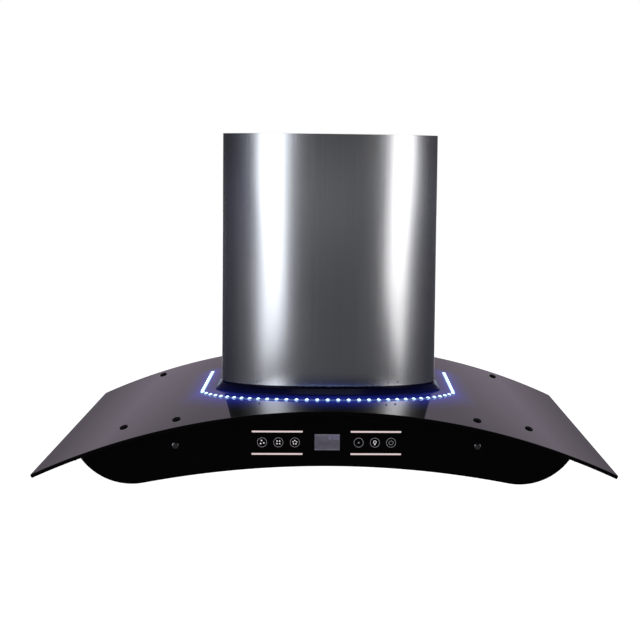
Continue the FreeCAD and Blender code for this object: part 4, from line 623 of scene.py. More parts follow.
def arc(centre, radius, start, end, steps):
    """Points (x, z) of an arc between two angles in degrees, anticlockwise from +X."""
    bearings = [math.radians(start + (end - start) * step / steps) for step in range(steps + 1)]
    return [(centre[0] + radius * math.cos(turn), centre[1] + radius * math.sin(turn)) for turn in bearings]


def circle(x, z, radius, steps=32):
    return arc((x, z), radius, 0, 360 * (1 - 1 / steps), steps - 1)


def ring(x, z, radius, width):
    """Outer and inner outline of a printed ring."""
    return [circle(x, z, radius, 48), circle(x, z, radius - width, 48)]


def rectangle(left, low, right, high, corner=0.0):
    """Corners of a rectangle, rounded if a corner radius is given."""
    if not corner:
        return [(left, low), (right, low), (right, high), (left, high)]
    points = []
    for x, z, start in ((right, low, 270), (right, high, 0), (left, high, 90), (left, low, 180)):
        inward = (x + (corner if x == left else -corner), z + (corner if z == low else -corner))
        points += arc(inward, corner, start, start + 90, 5)
    return points


# The canopy's arch

def arch_z():
    return GLASS_HIGH.z - sizes().arch_radius


def on_arch(x, lift=0.0):
    """Height of the arch's upper face at x, or of the face that lies this much outside it."""
    return arch_z() + math.sqrt((sizes().arch_radius + lift) ** 2 - x * x)


def on_glass(x, y, lift):
    """The point at this height square above the glass over a place in plan."""
    lean = math.asin(x / sizes().arch_radius)
    reach = sizes().arch_radius + lift
    return Vector((reach * math.sin(lean), y, arch_z() + reach * math.cos(lean)))


def arched_sheet(low, high, outside, wall, opening, edge, corner=0.0, hem=0.0):
    """A sheet bent to the arch between two plan corners, with a rectangular opening, its face this far outside.

    Its corners and its opening's may be rounded, and its two ends turned down.
    """
    columns, lines = 160, 8
    stops = [low.x + (high.x - low.x) * step / columns for step in range(columns + 1)]
    room = 1.1 * max(corner, edge)
    stops = [x for x in stops if all(abs(x - side) > room for side in opening[::2])]
    stops = sorted(stops + list(opening[::2]))
    rows = {low.y + (high.y - low.y) * step / lines for step in range(lines + 1)}
    rows = sorted(y for y in rows | {low.y, high.y, *opening[1::2]} if low.y <= y <= high.y)
    table = []
    for y in rows:
        row = [Vector((x, y, on_arch(x, outside))) for x in stops]
        if hem:
            row = [row[0] - Vector((0, 0, hem))] + row + [row[-1] - Vector((0, 0, hem))]
        table.append(row)
    form = grid(table)
    holes = []
    for face in form.faces:
        middle = face.calc_center_median()
        if opening[0] < middle.x < opening[2] and opening[1] < middle.y < opening[3]:
            holes.append(face)
    bmesh.ops.delete(form, geom=holes, context="FACES")
    if corner:
        turns = [vert for vert in form.verts if len(vert.link_faces) in (1, 3)]
        bmesh.ops.bevel(form, geom=turns, offset=corner, segments=5, profile=0.5, affect="VERTICES")
    return softened(form, edge, 50, 4, wall, clamp=False)


def chimney_plan(steps=96):
    """Plan of the cover from its rear left to its rear right corner: (place, outward direction) pairs."""
    half, radius = COVER_HIGH.x, sizes().chimney_front_radius
    centre = Vector((0, COVER_LOW.y + radius, 0))
    reach = math.asin(half / radius)
    mitre = (math.pi / 2 - reach) / 2
    stations = [(Vector((-half, COVER_HIGH.y, 0)), Vector((-1, 0, 0)))]
    for step in range(steps + 1):
        bearing = reach * (2 * step / steps - 1)
        normal = Vector((math.sin(bearing), -math.cos(bearing), 0))
        spot = centre + normal * radius
        if step in (0, steps):
            turn = math.copysign(reach + mitre, bearing)
            normal = Vector((math.sin(turn), -math.cos(turn), 0)) / math.cos(mitre)
        stations.append((spot, normal))
    stations.append((Vector((half, COVER_HIGH.y, 0)), Vector((1, 0, 0))))
    return stations


# Node trees for what repeats

def new_tree(name, sockets):
    """A geometry tree with a carrier, the named inputs and a finish given: the tree and its given inputs."""
    tree = bpy.data.node_groups.new(name, "GeometryNodeTree")
    for label, kind in {"Geometry": "Geometry", **sockets, "Finish": "Material"}.items():
        tree.interface.new_socket(label, in_out="INPUT", socket_type="NodeSocket" + kind)
    tree.interface.new_socket("Geometry", in_out="OUTPUT", socket_type="NodeSocketGeometry")
    return tree, tree.nodes.new("NodeGroupInput").outputs


def end_tree(tree, given, made):
    """Ends a tree: instances made real, then the finish set."""
    real = add(tree, "GeometryNodeRealizeInstances", (made,), 0)
    faced = add(tree, "GeometryNodeSetMaterial", {"Geometry": real, "Material": given["Finish"]}, 0)
    add(tree, "NodeGroupOutput", (faced,))
    return tree


def run_tree(tree, carrier, finish, values, pattern=None):
    """The plain mesh that a tree gives on a carrier, with its inputs set by name and its pattern's mesh."""
    values["Finish"] = finish_of(finish)
    if pattern:
        values["Pattern"] = holder(pattern)
    thing = holder(carrier)
    modifier = thing.modifiers.new(tree.name, "NODES")
    modifier.node_group = tree
    for socket in tree.interface.items_tree:
        if socket.in_out == "INPUT" and socket.name in values:
            modifier[socket.identifier] = values[socket.name]
    mesh = plain(thing)
    if pattern:
        bpy.data.objects.remove(values["Pattern"])
    return mesh


@cache
def fastener_tree():
    """Copies of a pattern on points, each set up along its point's aim and turned at random about it."""
    tree, given = new_tree("Fasteners", {"Pattern": "Object", "Turn": "Float", "Seed": "Int"})
    aim = add(tree, "GeometryNodeInputNamedAttribute", {"Name": "aim"}, 0, data_type="FLOAT_VECTOR")
    upright = add(tree, "FunctionNodeAlignRotationToVector", {"Vector": aim}, 0, axis="Z")
    chance = {3: given["Turn"], "Seed": given["Seed"]}
    angle = add(tree, "FunctionNodeRandomValue", chance, 1, data_type="FLOAT")
    twist = add(tree, "FunctionNodeAxisAngleToRotation", {"Axis": (0, 0, 1), "Angle": angle}, 0)
    both = {"Rotation": upright, "Rotate By": twist}
    turned = add(tree, "FunctionNodeRotateRotation", both, 0, rotation_space="LOCAL")
    pattern = add(tree, "GeometryNodeObjectInfo", {"Object": given["Pattern"]}, "Geometry")
    copies = {"Points": given["Geometry"], "Instance": pattern, "Rotation": turned}
    return end_tree(tree, given, add(tree, "GeometryNodeInstanceOnPoints", copies, 0))


def on_spots(spots, pattern, finish):
    """Copies of a mesh on spots, each spot a place and an aim."""
    points = bpy.data.meshes.new("spots")
    points.from_pydata([spot for spot, _ in spots], [], [])
    aims = points.attributes.new("aim", "FLOAT_VECTOR", "POINT")
    aims.data.foreach_set("vector", [part for _, aim in spots for part in aim])
    return run_tree(fastener_tree(), points, finish, {"Turn": FULL_TURN, "Seed": 3}, pattern)


@cache
def row_tree():
    """A row of copies of a pattern, one pitch apart along X from a start."""
    tree, given = new_tree("Row", {"Pattern": "Object", "Count": "Int", "Pitch": "Float", "Start": "Vector"})
    step = add(tree, "ShaderNodeCombineXYZ", {"X": given["Pitch"]}, 0)
    line = add(tree, "GeometryNodeMeshLine", {
        "Count": given["Count"], "Start Location": given["Start"], "Offset": step}, 0)
    pattern = add(tree, "GeometryNodeObjectInfo", {"Object": given["Pattern"]}, "Geometry")
    copies = add(tree, "GeometryNodeInstanceOnPoints", {"Points": line, "Instance": pattern}, 0)
    return end_tree(tree, given, copies)


@cache
def wheel_tree():
    """Copies of a blade round the X axis of a wheel, with the wheel itself."""
    tree, given = new_tree("Blade wheel", {"Pattern": "Object", "Count": "Int", "Centre": "Vector"})
    points = add(tree, "GeometryNodePoints", {"Count": given["Count"], "Position": given["Centre"]}, 0)
    index = add(tree, "GeometryNodeInputIndex", output=0)
    share = add(tree, "ShaderNodeMath", (index, given["Count"]), 0, operation="DIVIDE")
    turn = add(tree, "ShaderNodeMath", (share, FULL_TURN), 0, operation="MULTIPLY")
    angles = add(tree, "ShaderNodeCombineXYZ", {"X": turn}, 0)
    blade = add(tree, "GeometryNodeObjectInfo", {"Object": given["Pattern"]}, "Geometry")
    copies = add(tree, "GeometryNodeInstanceOnPoints", {
        "Points": points, "Instance": blade, "Rotation": angles}, 0)
    both = add(tree, "GeometryNodeJoinGeometry")
    tree.links.new(copies, both.inputs[0])
    tree.links.new(given["Geometry"], both.inputs[0])
    return end_tree(tree, given, both.outputs[0])


@cache
def light_tree():
    """Domed light points at even steps along a path over the arch, each square to the arch."""
    tree, given = new_tree("Light points", {
        "Count": "Int", "Radius": "Float", "Height": "Float", "Arch radius": "Float"})
    path = add(tree, "GeometryNodeResampleCurve", {"Curve": given["Geometry"], "Count": given["Count"]}, 0,
               mode="COUNT")
    place = add(tree, "GeometryNodeInputPosition", output=0)
    across = add(tree, "ShaderNodeSeparateXYZ", (place,), "X")
    share = add(tree, "ShaderNodeMath", (across, given["Arch radius"]), 0, operation="DIVIDE")
    lean = add(tree, "ShaderNodeMath", (share,), 0, operation="ARCSINE")
    angles = add(tree, "ShaderNodeCombineXYZ", {"Y": lean}, 0)
    ball = add(tree, "GeometryNodeMeshUVSphere", {"Segments": 14, "Rings": 8, "Radius": 1}, "Mesh")
    cut = add(tree, "ShaderNodeVectorMath", (place, (-1, -1, 0)), 0, operation="MAXIMUM")
    dome = add(tree, "GeometryNodeSetPosition", {"Geometry": ball, "Position": cut}, 0)
    size = add(tree, "ShaderNodeCombineXYZ", (given["Radius"], given["Radius"], given["Height"]), 0)
    copies = add(tree, "GeometryNodeInstanceOnPoints", {
        "Points": path, "Instance": dome, "Rotation": angles, "Scale": size}, 0)
    return end_tree(tree, given, add(tree, "GeometryNodeSetShadeSmooth", (copies,), 0))


def cylinder(form, radius, low, high, sides):
    """Adds an upright bar between two heights to a form."""
    bmesh.ops.create_cone(form, cap_ends=True, segments=sides, radius1=radius, radius2=radius,
                          depth=high - low, matrix=Matrix.Translation((0, 0, (low + high) / 2)))
    return form


def screw(radius, height, shank, reach, hexagon=False):
    """A screw with its domed head on z = 0, a cross or a hexagon socket in it, and its shank below."""
    rim, arcs = 0.35, 5  # The upright part of the head's height, and the steps of its dome
    profile = [(0, 0), (radius, 0), (radius, height * rim)]
    for step in range(1, arcs + 1):
        turn = math.radians(90 * step / arcs)
        profile.append((radius * math.cos(turn), height * (rim + (1 - rim) * math.sin(turn))))
    thing = holder(as_mesh(lathe(profile, Vector(), steps=28)))
    floor, above = height * 0.45, 2 * height
    if hexagon:
        cutters = [cylinder(bmesh.new(), radius * 0.56, floor, floor + above, 6)]
    else:
        arm, half = radius * 0.62, radius * 0.12
        cutters = [block((-x, -y, floor), (x, y, above)) for x, y in ((arm, half), (half, arm))]
    tools = [holder(as_mesh(cutter)) for cutter in cutters]
    for tool in tools:
        modify(thing, "Recess", "BOOLEAN", operation="DIFFERENCE", object=tool)
    head = plain(thing)
    for tool in tools:
        bpy.data.objects.remove(tool)
    return smoothed(cylinder(joined([head]), shank, -reach, 0, 16), 40)


# The stage: floor, light and camera. What a mirror sees round the object: colours from the front (0) over the
# sides (0.5) to the back (1), and how bright they are from below (0) over the horizon (0.5) upwards, in the
# front and the back half

STUDIO_ROUND = (
    (0, (0.3, 0.305, 0.31)), (0.15, (0.19, 0.195, 0.215)), (0.5, (0.085, 0.09, 0.17)),
    (0.63, (0.05, 0.055, 0.09)), (0.75, (0.015, 0.016, 0.03)), (0.93, (0.35, 0.3, 0.365)))
STUDIO_FRONT = ((0.35, 0.5), (0.44, 1), (0.47, 1.45), (0.488, 0.4), (0.498, 0.26), (0.515, 0.15), (0.55, 0))
STUDIO_BACK = (
    (0.35, 0.5), (0.44, 0.7), (0.47, 1), (0.49, 0.62), (0.502, 0.62), (0.507, 0.66), (0.53, 0.95), (0.545, 1.18),
    (0.565, 1.14), (0.6, 0.93))
PLAIN_LIGHT = (0.6, 0.6, 0.61, 1)
COOL, WARM, NEUTRAL = (0.93, 0.965, 1), (1, 0.985, 0.955), (1, 1, 1)
# Name, bearing in degrees, distance, low and high end, width, power over area, lean in degrees and colour
SOFTBOXES = (
    ("left_softbox", -55, 2.3, -0.65, 0.45, 1.02, 7.1, 5, COOL),
    ("left_high_softbox", -53.5, 2.35, -0.28, 1.2, 1.22, 4.2, -22, COOL),
    ("right_softbox", 69, 2.3, -0.63, 0.45, 0.82, 7.2, -27, WARM),
    ("right_high_softbox", 69.5, 2.35, -0.25, 1.2, 1.02, 4.6, 24, WARM))
FLOOR_Z, FLOOR_HALF = -2.1, 30


class HOOD_OT_stage(bpy.types.Operator):
    """Sets the floor, the soft lamps, the white background and the camera"""
    bl_idname = "hood.stage"
    bl_label = "Stage"

    def execute(self, context):
        context.scene.view_settings.view_transform = "Standard"
        self.floor()
        self.surroundings(context.scene)
        self.lamps(context.scene)
        self.camera(context.scene)
        return {"FINISHED"}

    def floor(self):
        form = bmesh.new()
        bmesh.ops.create_grid(form, x_segments=1, y_segments=1, size=FLOOR_HALF)
        bmesh.ops.translate(form, verts=form.verts, vec=(0, 0, FLOOR_Z))
        floor = holder(as_mesh(form))
        floor.name = "studio_floor"
        floor.data.materials.append(floor_paint())

    def surroundings(self, scene):
        """White for the camera, plain light for matt surfaces, and a dim studio for what mirrors it."""
        scene.world = bpy.data.worlds.new("Studio")
        scene.world.use_nodes = True
        tree = scene.world.node_tree
        tree.nodes.clear()
        aim = add(tree, "ShaderNodeTexCoord", output="Generated")
        height = add(tree, "ShaderNodeSeparateXYZ", (aim,), "Z")
        facing = rearward(tree, aim)
        walls = self.ramp(tree, add(tree, "ShaderNodeMapRange", (facing, -1, 1, 0, 1), 0), STUDIO_ROUND)
        rise = add(tree, "ShaderNodeMapRange", (height, -1, 1, 0, 1), 0)
        front, back = [self.ramp(tree, rise, [(at, (share,) * 3) for at, share in stops])
                       for stops in (STUDIO_FRONT, STUDIO_BACK)]
        half = add(tree, "ShaderNodeMapRange", (facing, 0.5, 0.86, 0, 1), 0)
        heights = add(tree, "ShaderNodeMix", {0: half, 6: front, 7: back}, 2, data_type="RGBA")
        dim = add(tree, "ShaderNodeVectorMath", (walls, heights), 0, operation="MULTIPLY")
        camera_ray = add(tree, "ShaderNodeLightPath", output="Is Camera Ray")
        shown = add(tree, "ShaderNodeMix", {0: camera_ray, 6: dim, 7: WHITE}, 2, data_type="RGBA")
        rays = background_rays(tree)
        total = add(tree, "ShaderNodeMix", {0: rays, 6: PLAIN_LIGHT, 7: shown}, 2, data_type="RGBA")
        sky = add(tree, "ShaderNodeBackground", {"Color": total, "Strength": 1}, 0)
        add(tree, "ShaderNodeOutputWorld", {"Surface": sky})

    def ramp(self, tree, source, stops):
        node = add(tree, "ShaderNodeValToRGB", (source,))
        elements = node.color_ramp.elements
        while len(elements) < len(stops):
            elements.new(1)
        for element, (at, colour) in zip(elements, stops):
            element.position = at
            element.color = (*colour, 1)
        return node.outputs["Color"]

    def lamps(self, scene):
        """Upright softboxes beside the camera, mirrored as the cover's two streaks, and one overhead."""
        for name, bearing, distance, low, high, wide, strength, lean, colour in SOFTBOXES:
            turn = math.radians(bearing)
            middle = Vector((0, -0.25, (low + high) / 2))
            spot = middle + Vector((math.sin(turn) * distance, -math.cos(turn) * distance, 0))
            self.area(scene, name, spot, middle, (wide, high - low), strength, colour, lean)
        spot, target = Vector((0, -0.5, 2.4)), Vector((0, -0.3, 0))
        self.area(scene, "overhead_softbox", spot, target, (2.2, 1.6), 3.7, NEUTRAL)

    def area(self, scene, name, spot, target, size, strength, colour, lean=0):
        data = bpy.data.lights.new(name, "AREA")
        data.shape = "RECTANGLE"
        data.size, data.size_y = size
        data.energy = strength * size[0] * size[1]
        data.color = colour
        lamp = bpy.data.objects.new(name, data)
        lamp.location = spot
        lamp.rotation_mode = "QUATERNION"
        upright = (target - spot).to_track_quat("-Z", "Y")
        lamp.rotation_quaternion = upright @ Quaternion((0, 0, 1), math.radians(lean))
        scene.collection.objects.link(lamp)

    def camera(self, scene):
        """The photograph's view: its focal length and optical centre in pixels of a 640 pixel frame."""
        frame_pixels, focal_pixels = 640, 990.04
        centre_x, centre_y = 362.96, 195.66
        yaw, pitch, roll = 0.0291, 0.0507, 0.0120
        place = Vector((6.81, -1988.84, 145.44)) * MM
        data = bpy.data.cameras.new("camera")
        data.sensor_width = 36
        data.lens = focal_pixels * data.sensor_width / frame_pixels
        data.shift_x = (frame_pixels / 2 - centre_x) / frame_pixels
        data.shift_y = (centre_y - frame_pixels / 2) / frame_pixels
        ahead = Vector((math.sin(yaw) * math.cos(pitch), math.cos(yaw) * math.cos(pitch), -math.sin(pitch)))
        right = Vector((math.cos(yaw), -math.sin(yaw), 0))
        up = right.cross(ahead)
        right, up = (right * math.cos(roll) + up * math.sin(roll), up * math.cos(roll) - right * math.sin(roll))
        camera = bpy.data.objects.new("camera", data)
        camera.matrix_world = Matrix.Translation(place) @ Matrix((right, up, -ahead)).transposed().to_4x4()
        scene.collection.objects.link(camera)
        scene.camera = camera


# The pieces

class HOOD_OT_glass_canopy(bpy.types.Operator):
    """Bends the black glass canopy, with its cut-out at the back and its ground edge"""
    bl_idname = "hood.glass_canopy"
    bl_label = "Glass canopy"

    def execute(self, context):
        glass, corner, edge_lean = 6 * MM, 3.2 * MM, math.radians(20)
        notch = (-sizes().notch_half, -sizes().notch_front, sizes().notch_half, GLASS_HIGH.y + MM)
        mesh = arched_sheet(GLASS_LOW, GLASS_HIGH, 0.0, glass, notch, sizes().glass_edge, corner)
        new_piece("canopy_glass", mesh, "black_glass", "glass_canopy")
        mesh.materials.append(finish_of("glass_edge"))
        for face in mesh.polygons:
            square = (face.center - Vector((0, face.center.y, arch_z()))).normalized()
            face.material_index = int(abs(face.normal.dot(square)) < math.cos(edge_lean))
        return {"FINISHED"}


def cap_spots():
    """Places in plan of the six caps: the middles of the frame's own grommets."""
    form = node_form("glass_grommets")
    left, spots = set(form.verts), []
    while left:
        island, front = [], {left.pop()}
        while front:
            vert = front.pop()
            island.append(vert.co.copy())
            beside = {edge.other_vert(vert) for edge in vert.link_edges} & left
            left -= beside
            front |= beside
        spots.append([(min(spot[axis] for spot in island) + max(spot[axis] for spot in island)) / 2
                      for axis in (0, 1)])
    form.free()
    return sorted(spots)


class HOOD_OT_glass_caps(bpy.types.Operator):
    """Sets the six dark screw caps on the glass, and the rubber sleeves in its holes"""
    bl_idname = "hood.glass_caps"
    bl_label = "Glass caps"

    def execute(self, context):
        seat, half_glass = 0.1 * MM, 3 * MM
        spots = []
        for x, y in cap_spots():
            lean = math.asin(x / (sizes().arch_radius - half_glass))
            spots.append((on_glass(math.sin(lean) * sizes().arch_radius, y, seat),
                          Vector((math.sin(lean), 0, math.cos(lean)))))
        cap = screw(6.5 * MM, 3 * MM, 2.5 * MM, 13 * MM, hexagon=True)
        new_piece("canopy_caps", on_spots(spots, cap, "cap"), "black_plastic", "glass_caps", finish="cap")
        dress("glass_grommets", "black_rubber", edge=0.15)
        return {"FINISHED"}


class HOOD_OT_chimney_cover(bpy.types.Operator):
    """Folds the brushed stainless chimney cover, its front curved and its rim cut to the glass"""
    bl_idname = "hood.chimney_cover"
    bl_label = "Chimney cover"

    def execute(self, context):
        lip, fold, levels = Vector((15 * MM, 0, 0)), 1.6 * MM, 8
        plan = [spot for spot, _ in chimney_plan()]
        plan = [plan[0] + lip, *plan, plan[-1] - lip]
        rims = [on_arch(spot.x, sizes().chimney_lift) for spot in plan]
        rows = [[Vector((spot.x, spot.y, rim + (COVER_HIGH.z - rim) * level / levels))
                 for spot, rim in zip(plan, rims)] for level in range(levels + 1)]
        mesh = as_mesh(grid(rows))
        mesh.shade_smooth()
        thing = holder(mesh)
        modify(thing, "Folds", "BEVEL", width=fold, segments=4, limit_method="ANGLE",
               angle_limit=math.radians(20))
        mesh = softened(joined([plain(thing)]), 0.22 * MM, 50, wall=sizes().chimney_sheet)
        new_piece("chimney_shell", mesh, "brushed_stainless", "chimney_cover")
        return {"FINISHED"}


class HOOD_OT_chimney_fasteners(bpy.types.Operator):
    """Drives the two side screws and the three rivets of the chimney cover, with the brackets behind"""
    bl_idname = "hood.chimney_fasteners"
    bl_label = "Chimney fasteners"

    def execute(self, context):
        low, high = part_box("chimney_screws")
        half = COVER_HIGH.x
        y, z = (low.y + high.y) / 2, (low.z + high.z) / 2
        pattern = screw((high.z - low.z) / 2, high.x - half, 2 * MM, 12 * MM)
        spots = [(Vector((sign * half, y, z)), Vector((sign, 0, 0))) for _, sign in SIDES]
        new_piece("chimney_side_screws", on_spots(spots, pattern, "blackened_screw"), "stainless_fastener",
                  "chimney_screws", finish="blackened_screw")
        radius = sizes().chimney_front_radius
        seat, above_rim, rivets = 0.1 * MM, 6 * MM, (-118 * MM, 100 * MM, 116 * MM)
        spots = []
        for x in rivets:
            bearing = math.asin(x / radius)
            aim = Vector((math.sin(bearing), -math.cos(bearing), 0))
            spot = Vector((0, COVER_LOW.y + radius, 0)) + aim * (radius + seat)
            spot.z = on_arch(x, sizes().chimney_lift) + above_rim
            spots.append((spot, aim))
        rivet = as_mesh(lathe([(0, 0), (1.8, 0), (1.6, 0.5), (1, 0.9), (0, 1)], Vector(), steps=20, unit=MM))
        rivet.shade_smooth()
        new_piece("rim_rivet_heads", on_spots(spots, rivet, "stainless_fastener"), "stainless_fastener",
                  "rim_rivets")
        dress("chimney_brackets", "zinc_steel")
        return {"FINISHED"}


class HOOD_OT_chimney_collar(bpy.types.Operator):
    """Sweeps the dark flared trim between the chimney cover and the glass"""
    bl_idname = "hood.chimney_collar"
    bl_label = "Chimney collar"

    def execute(self, context):
        # Millimetres outwards from the cover and up from the glass
        section = (
            (-3.5, 0.3), (9.6, 0.3), (10, 0.6), (10, 1.4), (9.3, 2.3), (5.4, 5.6), (2.2, 8.8), (1.2, 9.4),
            (-1.5, 9.4), (-1.5, 20), (-3.5, 20))
        wall_gap = Vector((0, -3 * MM, 0))
        stations = chimney_plan(64)
        for end in (0, -1):
            stations[end] = (stations[end][0] + wall_gap, stations[end][1])
        rows = []
        for spot, outward in stations:
            row = []
            for out, rise in section:
                x = spot.x + outward.x * out * MM
                row.append(Vector((x, spot.y + outward.y * out * MM, on_arch(x, rise * MM))))
            rows.append(row)
        mesh = softened(capped_grid(rows), 0.25 * MM, 28)
        new_piece("collar_trim", mesh, "black_plastic", "chimney_collar", finish="collar")
        return {"FINISHED"}


def tape_plan():
    """Plan of the light line: half width, arc radius, arc centre, corner and rear end of its arms."""
    low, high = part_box("led_tape")
    half, corner = sizes().line_half, -sizes().line_corner
    front = low.y + sizes().tape_width / 2
    run = corner - front
    radius = (half ** 2 + run ** 2) / (2 * run)
    return half, radius, front + radius, corner, high.y


def tape_spot(run, plan):
    """Plan place and sideways direction at a distance along the light line from its middle."""
    half, radius, centre, corner, _ = plan
    reach = radius * math.asin(half / radius)
    sign = math.copysign(1, run)
    if abs(run) <= reach:
        bearing = run / radius
        outward = Vector((math.sin(bearing), -math.cos(bearing), 0))
        return Vector((0, centre, 0)) + outward * radius, outward
    return Vector((sign * half, corner + abs(run) - reach, 0)), Vector((sign, 0, 0))


class HOOD_OT_light_line(bpy.types.Operator):
    """Lays the silicone light tape on the glass and sets its lit points along it"""
    bl_idname = "hood.light_line"
    bl_label = "Light line"

    def execute(self, context):
        plan = tape_plan()
        self.tape(plan)
        self.points(plan)
        return {"FINISHED"}

    def tape(self, plan):
        """The sleeve, which keeps how far along the light points and whether in an arm each place is."""
        half, radius, _, corner, end = plan
        reach = radius * math.asin(half / radius)
        arm, steps, short, seat = end - corner, 120, 0.5 * MM, 0.1 * MM
        runs = [-reach - arm, -reach - short]
        runs += [reach * (2 * step / steps - 1) * 0.999 for step in range(steps + 1)]
        runs += [reach + short, reach + arm]
        wide, thick = sizes().tape_width / 2, sizes().tape_thickness
        crown = [(wide, 0.5 * thick), (0.8 * wide, 0.85 * thick), (0.4 * wide, thick)]
        section = [(-wide, 0), (wide, 0), *crown, *[(-out, rise) for out, rise in reversed(crown)]]
        rows = []
        for run in runs:
            spot, outward = tape_spot(run, plan)
            rows.append([on_glass(spot.x + outward.x * out, spot.y + outward.y * out, seat + rise)
                         for out, rise in section])
        mesh = smoothed(capped_grid(rows), 50)
        for name, measures in (("run", [run / sizes().bead_pitch for run in runs]),
                               ("arm", [float(abs(run) > reach) for run in runs])):
            data = mesh.attributes.new(name, "FLOAT", "POINT").data
            data.foreach_set("value", [measure for measure in measures for _ in section])
        new_piece("light_tape_sleeve", mesh, "clear_silicone", "led_tape")

    def points(self, plan):
        curve = bpy.data.curves.new("light_path", "CURVE")
        curve.dimensions = "3D"
        line = curve.splines.new("POLY")
        last = (sizes().bead_count - 1) / 2 * sizes().bead_pitch
        steps, seat = 400, 0.15 * MM
        line.points.add(steps)
        for index, point in enumerate(line.points):
            spot, _ = tape_spot(last * (2 * index / steps - 1), plan)
            point.co = on_glass(spot.x, spot.y, seat).to_4d()
        mesh = run_tree(light_tree(), curve, "led_lens", {
            "Count": sizes().bead_count, "Radius": sizes().bead_radius, "Height": sizes().bead_height,
            "Arch radius": sizes().arch_radius})
        new_piece("light_points", mesh, "led_lens", "led_beads")


def lobed_outline(top, inset, half):
    """Outline of the fascia and of the panels behind it: arched top and underside, a round lobe each side."""
    half_steps, lobe_steps, under_steps = 60, 28, 40
    under, lobe, lobe_x = sizes().under_radius, sizes().lobe_radius, sizes().lobe_x
    lobe_z = FASCIA_LOW.z + lobe
    under_z = lobe_z - math.sqrt((under + lobe) ** 2 - lobe_x ** 2)
    join = math.degrees(math.atan2(lobe_z - under_z, lobe_x))
    radius = lobe - inset
    end = math.degrees(math.asin((half - lobe_x) / radius))
    stops = [half * step / half_steps for step in range(half_steps, -half_steps - 1, -1)]
    points = [(x, on_arch(x, top)) for x in stops]
    points += arc((-lobe_x, lobe_z), radius, 270 - end, 360 - join, lobe_steps)
    points += arc((0, under_z), under + inset, 180 - join, join, under_steps)[1:-1]
    points += arc((lobe_x, lobe_z), radius, 180 + join, 270 + end, lobe_steps)
    return points


def bolt_holes():
    """Outlines of the holes for the two bolts, and the bolts' places."""
    low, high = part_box("fascia_bolts")
    radius = (high.z - low.z) / 2
    places = [(sign * (high.x - radius), (low.z + high.z) / 2) for _, sign in SIDES]
    return [circle(x, z, 2.8 * MM) for x, z in places], places


def bar_boxes(grow=0.0):
    """The four lit bars as (left, low, right, high), grown by a gap all round."""
    low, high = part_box("light_bars")
    thick, inner_left, inner_right, right = 2.45 * MM, -37.8 * MM, 36.1 * MM, 114 * MM
    return [(start - grow, bottom - grow, end + grow, bottom + thick + grow)
            for bottom in (low.z, high.z - thick)
            for start, end in ((low.x, inner_left), (inner_right, right))]


class HOOD_OT_fascia(bpy.types.Operator):
    """Cuts the flat black glass fascia and sets its two bolts"""
    bl_idname = "hood.fascia"
    bl_label = "Fascia"

    def execute(self, context):
        gap, below_glass, front = 0.1 * MM, -6.6 * MM, FASCIA_LOW.y
        holes, places = bolt_holes()
        window = rectangle(WINDOW_LOW.x - gap, WINDOW_LOW.z - gap, WINDOW_HIGH.x + gap, WINDOW_HIGH.z + gap)
        bars = [rectangle(*bar) for bar in bar_boxes(gap)]
        outlines = [lobed_outline(below_glass, 0.0, FASCIA_HIGH.x), window, *bars, *holes]
        mesh = plate(outlines, front, FASCIA_HIGH.y, 0.35 * MM)
        new_piece("fascia_glass", mesh, "black_glass", "fascia", finish="fascia_glass")
        low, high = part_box("fascia_bolts")
        bolt = screw((high.z - low.z) / 2, front - low.y, 2.5 * MM, 12 * MM, hexagon=True)
        spots = [(Vector((x, front, z)), Vector((0, -1, 0))) for x, z in places]
        new_piece("fascia_bolt_heads", on_spots(spots, bolt, "blackened_screw"), "black_plastic", "fascia_bolts",
                  finish="blackened_screw")
        return {"FINISHED"}


